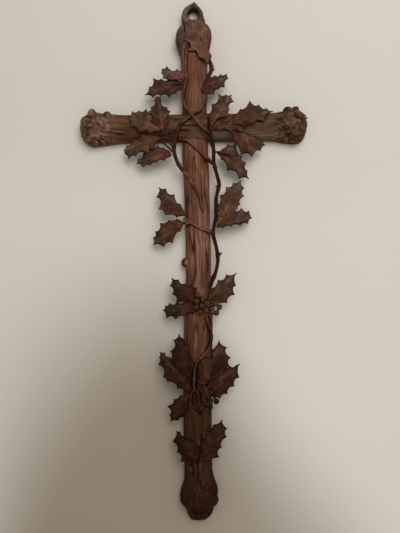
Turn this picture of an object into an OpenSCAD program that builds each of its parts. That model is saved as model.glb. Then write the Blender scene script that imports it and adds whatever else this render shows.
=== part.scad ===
// Carved wall cross: two half-round logs halved over each other, dressed with
// holly leaves, berries and twining stems that are carved apart and pinned on.
// X runs along the crossbeam, Z points up and the back lies on the wall, Y = 0.
// Everything stands out from the wall towards -Y. The origin is the middle of
// the hanging eye, at the wall.

/* [Upright log] */
// Width of the upright log across its flat back
upright_w = 30; // [26:1:34]
// Depth of the square-sided back part of both logs
back_depth = 5; // [4:0.5:7]
// Height of the eye's centre above the lower end of the upright
upright_drop = 587; // [560:1:620]
// Half width of the swollen head under the eye
head_half_w = 21; // [18:0.5:23]
// Half width of the swollen foot
foot_half_w = 21.5; // [18:0.5:24]

/* [Crossbeam] */
// Height of the crossbeam
beam_h = 31; // [28:1:34]
// Distance of the crossbeam's middle line below the eye
beam_drop = 131; // [120:1:145]
// Reach of the crossbeam to the left
beam_left = 133; // [120:1:145]
// Reach of the crossbeam to the right
beam_right = 130; // [120:1:145]
// Half height of the burls at the crossbeam's ends
burl_half_h = 20.5; // [18:0.5:24]

/* [Hanging eye] */
// Diameter of the hole that goes over the wall hook
eye_hole_d = 11; // [8:0.5:13]
// Thickness of the eye from the wall to its front
eye_t = 12; // [8:0.5:14]

/* [Lap joint] */
// Depth of the upright that is left behind the crossbeam
lap_depth = 10; // [8:0.5:12]
// Diameter of the two pegs that lock the lap joint
peg_d = 5; // [3:0.5:6]
// Distance between the two pegs
peg_gap = 14; // [10:1:18]

/* [Leaves] */
// Thickness of a leaf
leaf_t = 2.2; // [1.6:0.1:3]
// Depth of the round scoops between two spines, as a share of their distance
scoop = 0.55; // [0.3:0.05:0.7]
// Lean of the spines towards the leaf's tip, in mm for each mm that they stand out
lean = 0.3; // [0.2:0.05:0.35]

/* [Stems and berries] */
// Diameter of the twining stems
stem_d = 4.5; // [4:0.5:6]
// Diameter of the leaf stalks
stalk_d = 3; // [2.5:0.5:4]
// Diameter of a berry
berry_d = 6.5; // [5:0.5:8]
// Diameter of the pins that hold the stems to the logs
pin_d = 2; // [1.5:0.5:2.5]

/* [Hidden] */
$fn = 64;
eps = 0.5;
upright_r = upright_w / 2;
beam_r = beam_h / 2;
beam_z = -beam_drop;
foot_z = -upright_drop;
// Half widths of a leaf at its foot and its tip, and the shortest step between two sections
foot_half = 1.3;
tip_half = 0.5;
shortest_step = 0.2;

bark = "saddlebrown";
stem_colour = "sienna";
leaf_colour = "maroon";
pin_colour = "tan";

// Half width of the upright along its height, from the neck of the eye down to the foot
UPRIGHT_PROFILE = [
    [0, -9], [12, -10], [16, -14.5], [19, -19], [head_half_w, -26], [head_half_w, -33],
    [18.5, -40], [16, -47], [upright_r, -56], [upright_r - 0.7, -110],
    [upright_r, -165], [upright_r - 0.5, -225], [upright_r - 0.5, -300], [upright_r + 1, -365],
    [upright_r + 1, foot_z + 46], [17.5, foot_z + 40], [20, foot_z + 34],
    [foot_half_w, foot_z + 27], [foot_half_w - 1, foot_z + 21], [16, foot_z + 16],
    [13.5, foot_z + 10], [12, foot_z + 5], [8.5, foot_z], [0, foot_z]
];
// Half height of the crossbeam along its length, from the left end to the right end
BEAM_PROFILE = [
    [3 - beam_left, 0], [3 - beam_left, 9], [5 - beam_left, 14], [8 - beam_left, 17.5],
    [14 - beam_left, burl_half_h], [20 - beam_left, burl_half_h - 0.5],
    [30 - beam_left, 18.5], [44 - beam_left, beam_r + 0.5], [52 - beam_left, beam_r],
    [beam_right - 44, beam_r], [beam_right - 36, beam_r + 1], [beam_right - 27, 18.5],
    [beam_right - 19, burl_half_h - 1], [beam_right - 11, burl_half_h - 1],
    [beam_right - 6, 17.5], [beam_right - 4.5, 12], [beam_right - 4, 0]
];
// Knobs of the burls: [x, z, radius, height of the knob's centre off the wall]
BEAM_KNOBS = [
    [-119.5, -113.5, 6, 10], [-125.5, -123.5, 7.5, 10], [-124.5, -131, 7.5, 13],
    [-129, -137, 3, 9], [-119, -142.5, 8, 10], [-101.5, -118, 6, 14], [-112, -122, 6, 20],
    [-107, -131, 7, 20], [-117, -133, 6.5, 19], [107, -114, 6, 11], [116.5, -113.5, 5, 11],
    [125, -122, 5, 11], [125, -131, 5, 12], [122, -140.5, 4.5, 10], [116.5, -146.5, 5.5, 9],
    [110, -124, 8, 19], [117, -130, 6, 19], [104, -133, 6, 20], [113, -140, 5.5, 15]
];
// Knobs of the upright: the bud on its left side, the lumps of its head and foot and a knot
UPRIGHT_KNOBS = [
    [-12, -288, 5, 7], [-13, -560, 8, 14], [13, -561, 8, 14], [0, -574, 9, 13],
    [13, -28, 6, 14], [-14, -32, 7, 14], [-10, -525, 3, 17]
];
// Outline of the pointed eye, [x, z], round the hole
EYE_OUTLINE = [
    [-13, -14], [-13.5, -7], [-13.5, 0], [-12.5, 4.5], [-9.5, 8.5], [-5.5, 11], [-2, 12.5],
    [1.5, 15], [4, 12], [6.5, 9], [9.5, 5.5], [11.5, 1], [12.5, -4], [14, -9], [14, -14]
];

// One row for each holly leaf: name, foot of the leaf [x, z], heading in degrees from +X,
// length, height off the wall at [foot, middle, tip] with the fall of its edges, and the
// tips of the spines on its left and right side as [distance from the foot, distance out]
LEAVES = [
    ["crown_leaf", [6, -15], 280, 46, [23, 28, 22, 5],
        [[7, 8], [14, 11], [22, 9], [32, 6], [39, 7]],
        [[6, 17], [10, 19], [16, 20], [27, 18], [30, 14], [33, 8], [40, 7]]],
    ["leaf_top_left_upper", [-9, -75], 173, 29, [20, 25, 20, 2],
        [[4, 7], [10, 8], [15, 9], [21, 9], [26, 7]], [[6, 4], [11, 5], [19, 4], [23, 8], [29, 6]]],
    ["leaf_top_left_lower", [-12, -84], 194, 46, [18, 22, 18, 2],
        [[4, 6], [12, 9], [20, 11], [29, 7], [38, 6]],
        [[3, 6], [8, 9], [14, 10], [24, 12], [32, 16], [39, 7]]],
    ["leaf_beam_left_upright", [-36, -142], 97, 44, [24, 27, 21, 2],
        [[15, 13], [27, 13], [32, 10], [39, 5], [44, 4]],
        [[13, 9], [24, 12], [29, 9], [38, 3], [43, 4]]],
    ["leaf_beam_left_long", [-36, -138], 160, 42, [23, 26, 23, 3],
        [[6, 4], [13, 9], [26, 12], [38, 9]], [[17, 16], [27, 17], [34, 13], [41, 10]]],
    ["leaf_beam_left_outer", [-40, -147], 194, 44, [22, 23, 14, 2],
        [[10, 10], [20, 12], [32, 11], [41, 12], [44, 5]],
        [[4, 6], [10, 9], [19, 12], [30, 8], [39, 4]]],
    ["leaf_beam_left_hanging", [-27, -164], 192, 42, [18, 20, 12, 2],
        [[3, 3], [10, 6], [19, 6], [27, 7], [35, 7]],
        [[2, 6], [7, 10], [14, 14], [22, 14], [31, 10], [39, 5]]],
    ["leaf_middle_left_upper", [-10, -235], 134, 47, [18, 22, 14, 2],
        [[8, 10], [19, 18], [29, 18], [41, 10]], [[15, 4], [28, 7], [40, 5]]],
    ["leaf_middle_left_lower", [-13, -242], 214, 45, [18, 21, 12, 2],
        [[10, 6], [25, 12], [36, 9]], [[5, 9], [14, 13], [24, 16], [34, 11], [40, 7]]],
    ["leaf_berry_left_upper", [-4, -333], 133, 37, [24, 26, 14, 3],
        [[13, 14], [23, 12], [32, 8]], [[3, 8], [9, 14], [16, 12], [22, 7], [30, 5]]],
    ["leaf_berry_left_lower", [3, -343], 180, 43, [22, 24, 13, 2],
        [[9, 4], [19, 6], [28, 10], [39, 9]],
        [[3, 7], [10, 11], [18, 11], [26, 10], [35, 9], [40, 6]]],
    ["leaf_low_left_upper", [-10, -421], 103, 52, [25, 26, 16, 3],
        [[17, 15], [27, 17], [36, 14], [47, 8]],
        [[10, 6], [21, 10], [28, 8], [37, 9], [45, 5]]],
    ["leaf_low_left_outer", [-7, -434], 131, 57, [23, 25, 12, 2],
        [[6, 7], [14, 11], [28, 15], [34, 15], [48, 10]],
        [[13, 7], [24, 12], [35, 11], [45, 6], [52, 4]]],
    ["leaf_low_left_hanging", [-9, -436], 236, 43, [24, 25, 12, 2],
        [[17, 8], [28, 10], [36, 7]], [[5, 5], [9, 9], [17, 12], [28, 14], [36, 6]]],
    ["leaf_foot_left", [-3, -517], 124, 42, [24, 25, 13, 3],
        [[13, 14], [24, 11], [35, 10]],
        [[5, 11], [14, 15], [23, 16], [28, 9], [33, 5], [39, 4]]],
    ["leaf_top_right", [8, -91], 24, 34, [20, 24, 16, 2],
        [[9, 8], [14, 9], [20, 8], [27, 7], [35, 7]],
        [[3, 8], [6, 10], [10, 12], [18, 9], [25, 9]]],
    ["leaf_beam_right_upright", [17, -137], 58, 48, [24, 26, 17, 2],
        [[13, 11], [25, 13], [40, 13], [44, 6]], [[11, 2], [24, 12], [30, 8], [42, 7]]],
    ["leaf_beam_right_flat", [19, -137], 7, 40, [23, 24, 22, 2],
        [[13, 9], [25, 10], [35, 7]], [[10, 4], [22, 7], [35, 10]]],
    ["leaf_beam_right_long", [42, -133], 19, 50, [24, 27, 20, 3],
        [[6, 12], [15, 14], [29, 20], [37, 12], [44, 6]], [[14, 8], [24, 8], [36, 9]]],
    ["leaf_beam_right_small", [25, -162], 350, 29, [18, 20, 13, 2],
        [[6, 5], [11, 11], [20, 13]], [[8, 3], [18, 4]]],
    ["leaf_beam_right_outer", [43, -140.5], 340, 40, [24, 24, 14, 2],
        [[15, 4], [26, 5], [35, 4]], [[6, 12], [18, 22], [30, 19], [37, 9]]],
    ["leaf_beam_right_hanging", [26, -163], 321, 46, [16, 19, 10, 2],
        [[12, 10], [23, 14], [32, 12], [39, 6]], [[8, 4], [21, 10], [37, 8]]],
    ["leaf_middle_right_upper", [24, -247], 62, 60, [16, 20, 11, 2],
        [[8, 5], [14, 8], [22, 11], [33, 14], [45, 12], [53, 7]],
        [[8, 5], [17, 10], [28, 12], [34, 12], [45, 12], [54, 8]]],
    ["leaf_middle_right_lower", [24, -248], 15, 42, [18, 21, 12, 2],
        [[11, 14], [23, 14], [33, 14], [41, 9]], [[6, 3], [16, 4], [26, 6], [35, 6]]],
    ["leaf_berry_right", [10, -332], 41, 47, [23, 25, 12, 3],
        [[12, 9], [26, 9], [37, 7]], [[10, 13], [16, 18], [29, 17], [37, 10]]],
    ["leaf_low_right_upper", [6, -425], 68, 50, [23, 25, 14, 3],
        [[12, 7], [24, 5], [37, 5]], [[19, 20], [28, 21], [37, 19], [46, 11]]],
    ["leaf_low_right_outer", [5, -433], 32, 51, [23, 26, 12, 2],
        [[20, 13], [32, 9], [40, 5], [46, 2]], [[6, 14], [11, 19], [21, 19], [32, 16], [42, 12]]],
    ["leaf_low_right_small", [6, -424], 288, 32, [27, 28, 23, 2],
        [[13, 8], [22, 4]], [[8, 9], [17, 10], [25, 12], [28, 6]]],
    ["leaf_low_right_front", [6, -428], 84, 34, [27, 28, 24, 3],
        [[4, 8], [13, 9], [22, 10], [29, 7]], [[10, 8], [20, 10], [31, 7]]],
    ["leaf_foot_right", [-3, -518], 58, 56, [24, 25, 13, 3],
        [[14, 6], [26, 11], [38, 12], [47, 7]], [[20, 18], [31, 14], [43, 14], [51, 10]]]
];

// One row for each twining stem: name, diameter and the points that it runs through,
// [x, z, height off the wall]
STEMS = [
    ["stem_upper_left", stem_d, [[-7.5, -45, 21], [-9.5, -54, 18], [-10, -66, 18],
        [-9, -78, 20], [-12, -88, 18], [-13, -98, 18], [-10, -111, 21], [-2, -123, 27],
        [4, -131, 27], [11, -137, 25], [17, -142, 23]]],
    ["stem_upper_right", stem_d, [[15.5, -53, 18], [19.5, -61, 15], [19.5, -68, 15],
        [16, -75, 16], [12, -86, 18], [12, -95, 18], [10, -106, 20], [5, -115, 22.5],
        [-1, -118, 22], [-9, -124, 22], [-16, -130, 22], [-20, -140, 22], [-23, -150, 21],
        [-24, -161, 19], [-21, -172, 17], [-15, -182, 17], [-9, -189, 20], [-4, -198, 22],
        [1, -207, 22.5], [5, -216, 22], [7, -229, 21]]],
    ["stem_crossing", stem_d, [[-14, -147, 19], [-8, -149, 21], [-4, -153, 22], [1, -158, 22.5],
        [8, -164, 21], [14, -170, 19], [20, -176, 17]]],
    ["stem_right", stem_d, [[17, -122, 21], [17, -136, 22.5], [18, -146, 21], [21, -158, 18],
        [21, -172, 16], [24, -186, 15], [27, -198, 14], [24, -211, 14], [23, -222, 14],
        [23, -234, 15], [20, -248, 16], [19, -256, 16], [21, -264, 15], [23, -272, 14],
        [24, -280, 14], [24, -288, 14], [22, -298, 15], [18, -308, 17], [14, -318, 19]]],
    ["stem_tendril", stem_d, [[18, -254, 17], [9, -251, 20], [4, -249, 22], [-1, -246, 22.5],
        [-6, -243, 22], [-10, -243, 20], [-13, -245, 18]]],
    ["stem_lower", stem_d, [[10, -350, 20], [13, -360, 18], [15.5, -368, 16.5],
        [16, -375, 16.5], [14, -383, 18], [9, -391, 21], [2, -398, 22.5], [-2, -402, 23],
        [-4, -410, 25], [-5, -422, 26], [-5, -434, 26]]],
    ["stem_foot", stem_d, [[-6, -506, 25], [-5.5, -515, 24], [-5, -526, 22.5],
        [-4.5, -535, 23], [-4.5, -544, 24.5]]],
    ["stem_fork_left", stalk_d, [[-5, -431, 26], [-8, -437, 25], [-9.5, -444, 24.5],
        [-8, -451, 23], [-4.5, -456, 21]]],
    ["stem_fork_right", stalk_d, [[-5, -431, 26], [-1, -437, 25], [0.5, -444, 24.5],
        [-0.5, -451, 23], [-4, -456, 21]]]
];

// Short stalks that carry the leaves below the crossbeam and the berries, in one node
STALKS = [
    [[-25, -163, 20], [-29, -158, 21], [-34, -154, 22], [-39, -148, 22]],
    [[-24, -160, 20], [-26, -156, 20], [-29, -151, 20]],
    [[-22, -142, 23], [-28, -140, 24], [-34, -143, 24]],
    [[22, -162, 17], [28, -162, 18], [36, -164, 19]],
    [[10, -350, 20], [10.5, -345, 22.5], [10, -338, 24], [6, -330, 25], [0.5, -325, 25]],
    [[9.7, -344.2, 22.6], [15.5, -341.4, 23.4], [20, -335.5, 23]],
    [[9.9, -347.6, 21.5], [15.6, -346.6, 22.1], [21.5, -346, 21], [24.5, -339, 21.5]],
    [[9.4, -339.6, 23.7], [5, -337, 25], [-0.5, -339, 25]],
    [[5.5, -329.5, 25], [2.5, -331.5, 25], [-0.8, -332.1, 25]],
    [[10.2, -347, 21.8], [7, -346.5, 23.5], [3.4, -344.2, 24.3]],
    [[16, -438, 24], [18, -442, 24], [20, -446, 24]],
    [[1, -245.5, 22.5], [-7, -241.5, 21.5], [-15, -238, 19]],
    [[-8.5, -82.5, 20], [-16, -84.5, 22], [-26, -86, 22]]
];

// Middles of the berries, [x, z, height off the wall]
BERRIES = [
    [0.5, -325, 26], [6, -329.5, 26.5], [11.5, -334, 26], [5, -337, 26.5], [-1.3, -339, 25],
    [16.3, -340.7, 24.2], [20.2, -335, 23.5], [25, -339.3, 21.2], [21.5, -346, 21],
    [10, -342.5, 25.5], [-0.8, -332.1, 26], [3.4, -344.2, 25], [20, -446, 24]
];

// Thorns on the right stem: foot [x, z], tip [x, z], width at the foot, height off the wall
THORNS = [
    [[17.5, -66.5], [24, -66.5], 12, 14.5],
    [[24.5, -203], [29.5, -199], 7, 14],
    [[23, -280], [29.5, -277.5], 9, 14.5]
];
// Width of a thorn's tip
thorn_tip = 0.8;

// Pins through the stems into the logs, [x, z, depth of the tip, height of the head]
PINS = [
    [-12.5, -93, 9, 17], [-9, -124, 12, 22], [-4, -198, 12, 22], [1, -158, 12, 22],
    [17, -136, 12, 22], [14, -318, 9, 19], [-1, -246, 12, 22], [2, -398, 12, 22],
    [-5, -530, 12, 22]
];

// Faces of a skin over rings of points: quads cut in two, with a fan at each end
function skin_faces(rings, sides) = concat(
    [for (i = [0 : rings - 2]) for (k = [0 : sides - 1])
        [i * sides + k, i * sides + (k + 1) % sides, (i + 1) * sides + (k + 1) % sides]],
    [for (i = [0 : rings - 2]) for (k = [0 : sides - 1])
        [i * sides + k, (i + 1) * sides + (k + 1) % sides, (i + 1) * sides + k]],
    [for (k = [1 : sides - 2]) [0, k + 1, k]],
    [for (k = [1 : sides - 2]) (rings - 1) * sides * [1, 1, 1] + [0, k, k + 1]]
);

// Edge of one side of a leaf from its foot to its tip, with a scoop before each spine:
// [station on the midrib, distance out]. A point's real place is further along by its lean
function edge_line(spines, length) =
    let (
        tips = concat([[0, foot_half]], spines, [[length, tip_half]]),
        stops = [for (p = tips) [p[0] - lean * p[1], p[1]]]
    )
    concat([for (i = [1 : len(stops) - 1])
        let (
            a = stops[i - 1],
            b = stops[i],
            depth = min(scoop * norm(b - a) / 2, abs(b[1] - a[1]) / 4 + 0.6 * min(a[1], b[1]))
        )
        for (t = [0, 1/3, 2/3]) a + t * (b - a) - [0, 4 * t * (1 - t) * depth]],
        [stops[len(stops) - 1]]);
// Numbers in rising order, each once
function sorted(v) = len(v) == 0 ? [] : concat(
    sorted([for (x = v) if (x < v[0]) x]), [v[0]], sorted([for (x = v) if (x > v[0]) x]));

// Height of a leaf's midrib at share t of its length, a curve through foot, middle and tip
function rib_height(h, t) =
    (1 - t) * (1 - t) * h[0] + 2 * t * (1 - t) * (2 * h[1] - (h[0] + h[2]) / 2) + t * t * h[2];
function leaf_point(row, station, out, under) =
    let (
        a = row[2],
        along = station + lean * abs(out),
        h = rib_height(row[4], min(1, max(0, along / row[3]))) - row[4][3] * abs(out) / 12
    )
    [row[1][0] + along * cos(a) - out * sin(a), under - h, row[1][1] + along * sin(a) + out * cos(a)];

module leaf(row) {
    left = edge_line(row[5], row[3]);
    right = edge_line(row[6], row[3]);
    all = sorted([for (p = concat(left, right)) p[0]]);
    last = len(all) - 1;
    stations = [for (i = [0 : last]) if (i == last || all[i + 1] - all[i] > shortest_step) all[i]];
    points = [for (x = stations)
        let (l = lookup(x, left), r = lookup(x, right))
        each [
            leaf_point(row, x, 0, 0), leaf_point(row, x, l, 0), leaf_point(row, x, l, leaf_t),
            leaf_point(row, x, 0, leaf_t), leaf_point(row, x, -r, leaf_t), leaf_point(row, x, -r, 0)
        ]];
    color(leaf_colour) polyhedron(points, skin_faces(len(stations), 6), convexity = 10);
}

// Smooth curve through the points of a route
function curve_point(p, i, t) =
    let (
        last = len(p) - 1,
        a = p[max(0, i - 1)], b = p[i], c = p[min(last, i + 1)], d = p[min(last, i + 2)]
    )
    0.5 * (2 * b + (c - a) * t + (2 * a - 5 * b + 4 * c - d) * t * t
        + (3 * b - a - 3 * c + d) * t * t * t);
function curve(p, steps) = concat(
    [for (i = [0 : len(p) - 2]) for (j = [0 : steps - 1]) curve_point(p, i, j / steps)],
    [p[len(p) - 1]]);
function unit(v) = v / norm(v);

// Round stem along a route of [x, z, height off the wall]
module stem_tube(route, diameter) {
    sides = 8;
    path = [for (q = curve(route, 2)) [q[0], -q[2], q[1]]];
    last = len(path) - 1;
    points = [for (i = [0 : last])
        let (
            along = unit(path[min(last, i + 1)] - path[max(0, i - 1)]),
            front = unit([0, 1, 0] - along[1] * along),
            side = cross(front, along)
        )
        for (k = [0 : sides - 1])
            path[i] + diameter / 2 * (cos(k * 360 / sides) * front + sin(k * 360 / sides) * side)];
    polyhedron(points, skin_faces(last + 1, sides), convexity = 10);
}

module pin_shapes(diameter) {
    for (p = PINS)
        translate([p[0], -p[2], p[1]]) rotate([90, 0, 0]) cylinder(d = diameter, h = p[3] - p[2]);
}

module peg_shapes() {
    for (side = [-1, 1])
        translate([side * peg_gap / 2, 0, beam_z]) rotate([90, 0, 0])
            cylinder(d = peg_d, h = lap_depth + 5);
}

// Knobs that swell out of a log, cut off flat at the wall
module knobs(rows) {
    intersection() {
        for (k = rows) translate([k[0], -k[3], k[1]]) sphere(r = k[2]);
        translate([-200, -60, foot_z - 50]) cube([400, 60, 700]);
    }
}

// Half-round upright: turned front and square-sided back with the same outline
module upright_body() {
    intersection() {
        translate([0, -back_depth, 0]) rotate_extrude() polygon(UPRIGHT_PROFILE);
        translate([-100, -100, foot_z - eps]) cube([200, 100 - back_depth, 700]);
    }
    rotate([90, 0, 0]) linear_extrude(back_depth) {
        polygon(UPRIGHT_PROFILE);
        mirror([1, 0]) polygon(UPRIGHT_PROFILE);
    }
    knobs(UPRIGHT_KNOBS);
}

module beam_body() {
    intersection() {
        translate([0, -back_depth, beam_z]) rotate([0, 90, 0]) rotate_extrude()
            polygon([for (p = BEAM_PROFILE) [p[1], p[0]]]);
        translate([-200, -100, beam_z - 50]) cube([400, 100 - back_depth, 100]);
    }
    translate([0, 0, beam_z]) rotate([90, 0, 0]) linear_extrude(back_depth) {
        polygon(BEAM_PROFILE);
        mirror([0, 1]) polygon(BEAM_PROFILE);
    }
    knobs(BEAM_KNOBS);
}

// The front half of the crossing, straight across the upright
module lap_front() {
    translate([-100, -100 - lap_depth, beam_z - beam_r]) cube([200, 100, beam_h]);
}

module upright() {
    color(bark) difference() {
        union() {
            upright_body();
            rotate([90, 0, 0]) linear_extrude(eye_t) polygon(EYE_OUTLINE);
        }
        translate([0, eps, 0]) rotate([90, 0, 0]) cylinder(d = eye_hole_d, h = 40);
        lap_front();
        peg_shapes();
        pin_shapes(pin_d);
    }
}

module crossbeam() {
    color(bark) difference() {
        union() {
            beam_body();
            intersection() {
                upright_body();
                lap_front();
            }
        }
        intersection() {
            upright_body();
            translate([-100, -lap_depth, beam_z - 50]) cube([200, 100, 100]);
        }
        peg_shapes();
        pin_shapes(pin_d);
    }
}

module lap_pegs() { color(pin_colour) peg_shapes(); }

module stem_pins() { color(pin_colour) pin_shapes(pin_d); }

module stem(row) {
    color(stem_colour) difference() {
        stem_tube(row[2], row[1]);
        pin_shapes(pin_d);
    }
}

module leaf_stalks() { color(stem_colour) for (route = STALKS) stem_tube(route, stalk_d); }

module berries() {
    color(leaf_colour) for (b = BERRIES) translate([b[0], -b[2], b[1]]) sphere(d = berry_d);
}

module thorns() {
    color(stem_colour) for (t = THORNS) {
        run = t[1] - t[0];
        translate([t[0][0], -t[3], t[0][1]]) rotate([0, atan2(run[0], run[1]), 0])
            scale([1, stalk_d / t[2], 1]) cylinder(d1 = t[2], d2 = thorn_tip, h = norm(run));
    }
}

upright();
crossbeam();
lap_pegs();
stem_pins();
leaf_stalks();
berries();
thorns();
for (row = STEMS) stem(row);
for (row = LEAVES) leaf(row);
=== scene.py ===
# %% [markdown]
# # A carved wall cross twined with holly
# The real object is carved from wood: two half-round logs with their bark, halved over
# each other, and holly stems, leaves and berries that wind over them. The CAD frame has
# the logs, the stems and each leaf at their real sizes. This lesson dresses that frame:
# every surface is worked out with numpy in millimetres and lies where the CAD node lies.

# %% Load the frame
import math

import bpy
import numpy as np
from mathutils import Matrix, Vector


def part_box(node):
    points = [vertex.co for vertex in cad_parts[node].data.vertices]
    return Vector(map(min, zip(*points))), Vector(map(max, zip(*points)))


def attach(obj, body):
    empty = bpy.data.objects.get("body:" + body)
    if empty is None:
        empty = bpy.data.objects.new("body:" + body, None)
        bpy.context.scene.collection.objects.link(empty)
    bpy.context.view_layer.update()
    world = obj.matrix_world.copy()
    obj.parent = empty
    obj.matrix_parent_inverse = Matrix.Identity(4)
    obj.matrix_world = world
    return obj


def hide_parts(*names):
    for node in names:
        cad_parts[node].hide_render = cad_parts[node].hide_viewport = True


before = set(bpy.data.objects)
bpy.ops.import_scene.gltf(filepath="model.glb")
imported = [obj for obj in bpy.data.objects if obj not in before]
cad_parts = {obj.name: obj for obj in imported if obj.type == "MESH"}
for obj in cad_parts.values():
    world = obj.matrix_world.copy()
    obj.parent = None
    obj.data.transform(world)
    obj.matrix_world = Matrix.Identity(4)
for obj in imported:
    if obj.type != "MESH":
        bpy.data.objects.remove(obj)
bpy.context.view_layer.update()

MM = 0.001


def corners(node):
    """Lowest and highest corner of a CAD node, in millimetres."""
    low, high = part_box(node)
    return np.array(low) / MM, np.array(high) / MM


# %% [markdown]
# ## Helpers for surfaces
# Bark, burls and leaves could be sculpted by hand, but a carver's work here is regular
# enough to write down: rings of points along a line, pushed in or out by smooth noise.
# Small functions make the noise, find which way a surface faces, push it out over round
# knobs and cut knife lines. One more sews rings of points into a closed skin.


# %% Slopes and bells
def slope(value, start, end):
    """0 before start and 1 after end, in a straight line between. End may be the lower one."""
    return np.clip((value - start) / (end - start), 0, 1)


def bell(value, middle, width, power=2):
    """1 at the middle, and e to the power of minus |(value - middle) / width|^power round it."""
    return np.exp(-(np.abs((value - middle) / width) ** power))


print("a slope from 2 to 4 is", slope(3, 2, 4), "at 3")
print("a bell is", round(bell(1, 0, 1), 3), "one width away from its middle")


# %% Noise and grooves
def smooth_noise(u, v, seed):
    """Random heights from -1 to 1 on the corners of a unit grid, blended between the four
    corners round a point with the weight 3t^2 - 2t^3."""
    table = np.random.default_rng(seed).uniform(-1, 1, (64, 64))
    iu, iv = np.floor(u).astype(int), np.floor(v).astype(int)
    fu, fv = u - iu, v - iv
    wu, wv = fu * fu * (3 - 2 * fu), fv * fv * (3 - 2 * fv)
    near = table[iu % 64, iv % 64] * (1 - wu) + table[(iu + 1) % 64, iv % 64] * wu
    far = table[iu % 64, (iv + 1) % 64] * (1 - wu) + table[(iu + 1) % 64, (iv + 1) % 64] * wu
    return near * (1 - wv) + far * wv


def grooves(u, v, seed, width):
    """1 along the winding lines where the noise is 0, and 0 further than width from them:
    a bell over the noise."""
    return bell(smooth_noise(u, v, seed), 0, width)


print("noise at three places",
      smooth_noise(np.array([0.2, 3.5, 9.1]), np.array([1.0, 2.5, 7.7]), 1).round(3))


# %% Facing and knobs
def facing(points):
    """Unit vector square to the surface at each point: the cross product of the steps along
    the rings and across them, turned so that it points away from the ring's middle."""
    across = np.roll(points, -1, 1) - np.roll(points, 1, 1)
    along = np.gradient(points, axis=0)
    n = np.cross(along, across)
    n /= np.maximum(np.linalg.norm(n, axis=2, keepdims=True), 1e-9)
    away = points - points.mean(1, keepdims=True)
    return n * np.where((n * away).sum(2, keepdims=True) < 0, -1, 1)


def cover_knobs(points, knobs, n):
    """Pushes a surface out along n over round knobs (x, z, radius, height off the wall). Seen
    from a point p, a ball ends at b + sqrt(b^2 - |c - p|^2 + r^2), where c is its middle and
    b is (c - p) . n. Each point goes out by the largest of these."""
    push = np.zeros(points.shape[:2])
    for x, z, radius, height in knobs:
        gap = np.array([x, -height, z]) - points
        b = (gap * n).sum(2)
        inside = b * b - (gap * gap).sum(2) + radius * radius
        push = np.maximum(push, np.where(inside > 0, b + np.sqrt(np.maximum(inside, 0)), 0))
    return points + push[..., None] * n, push


sheet = np.zeros((13, 13, 3))
sheet[..., 0], sheet[..., 2] = np.meshgrid(np.arange(-6, 7), np.arange(-6, 7))
lifted = cover_knobs(sheet, [(0, 0, 5, 0)], np.array([0.0, -1.0, 0.0]))[1]
print("a knob of radius 5 mm lifts a flat sheet by up to", lifted.max(), "mm")


# %% Carved lines
def scratch(points, lines):
    """What a knife leaves on a surface: (how far each point rises, how much paler and how much darker it
    is painted).
    A line is its x, z points, its height in mm, below 0 for a cut, and its width: a point
    at distance d from the line, seen from the front, rises by height x e^-(d / width)^2."""
    rise, wear_and_highlight, grime_and_shade = np.zeros((3, *points.shape[:2]))
    for route, height, width in lines:
        a = np.array(route, float)
        step = np.diff(a, axis=0)
        gap = points[..., None, [0, 2]] - a[:-1]
        t = np.clip((gap * step).sum(-1) / (step * step).sum(-1), 0, 1)
        d = np.linalg.norm(gap - t[..., None] * step, axis=-1).min(-1)
        lift = height * bell(d, 0, width)
        rise = rise + lift
        wear_and_highlight = np.maximum(wear_and_highlight, np.clip(1.2 * lift, 0, 1))
        grime_and_shade = np.maximum(grime_and_shade, np.clip(-1.2 * lift, 0, 1))
    return rise, wear_and_highlight, grime_and_shade


def draw(points, marks, lines, share):
    """Adds carved lines to a surface and to its marks. Share, from 0 to 1, says how deep they
    bite at each point. A raised line wipes out the dark marks that it crosses, and a cut the pale ones."""
    rise, wear_and_highlight, grime_and_shade = scratch(points, lines)
    marks["wear_and_highlight"] = np.clip(np.maximum(marks["wear_and_highlight"] * (1 - grime_and_shade), wear_and_highlight * share), 0, 1)
    marks["grime_and_shade"] = np.clip(np.maximum(marks["grime_and_shade"] * (1 - wear_and_highlight), grime_and_shade * share), 0, 1)
    points[..., 1] -= rise * share
    return points


print("a cut of 0.8 mm lowers it by",
      round(-scratch(sheet, [([[-6, 0], [6, 0]], -0.8, 1.0)])[0].min(), 2), "mm")

# %% [markdown]
# A skin could be lofted between curves, but then the points move when the curve is cut
# anew. Here ring i of a grid is grid[i], and the faces follow from the numbers of rings and
# points alone. Beside its shape, a skin keeps four marks at its points for the finishes:
# a dark mark (0 to 1, grime in grooves and painted shade), a pale mark (0 to 1, wear that
# hands rub light and painted highlights), shade (how much darker, or below 0 lighter, partly
# painted shade and light) and tone (towards olive, or below 0 towards red).


# %% Faces between rings
def ring_faces(rings, sides, ring_shaped):
    """The quads between neighbouring rings, the triangles that close both ends, and each
    quad's ring i and place k. Point k of ring i is number i x sides + k. The middles of the
    first and the last ring come after them all."""
    steps = rings if ring_shaped else rings - 1
    i, k = (a.ravel() for a in np.meshgrid(np.arange(steps), np.arange(sides), indexing="ij"))
    j, m = (i + 1) % rings, (k + 1) % sides
    quads = np.stack([i * sides + k, i * sides + m, j * sides + m, j * sides + k], 1)
    first = np.arange(sides)
    after = (first + 1) % sides
    last = (rings - 1) * sides
    middle = np.full(sides, rings * sides)
    fans = np.vstack([np.stack([middle, after, first], 1),
                      np.stack([middle + 1, last + first, last + after], 1)])
    return quads, fans, i, k


def inside_out(points, quads):
    """True where six times the volume is below 0: over all quads a, b, c, d, the sum of
    (a x b) . c + (a x c) . d."""
    a, b, c, d = points[quads].transpose(1, 0, 2)
    return (np.cross(a, b) * c).sum() + (np.cross(a, c) * d).sum() < 0


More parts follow.
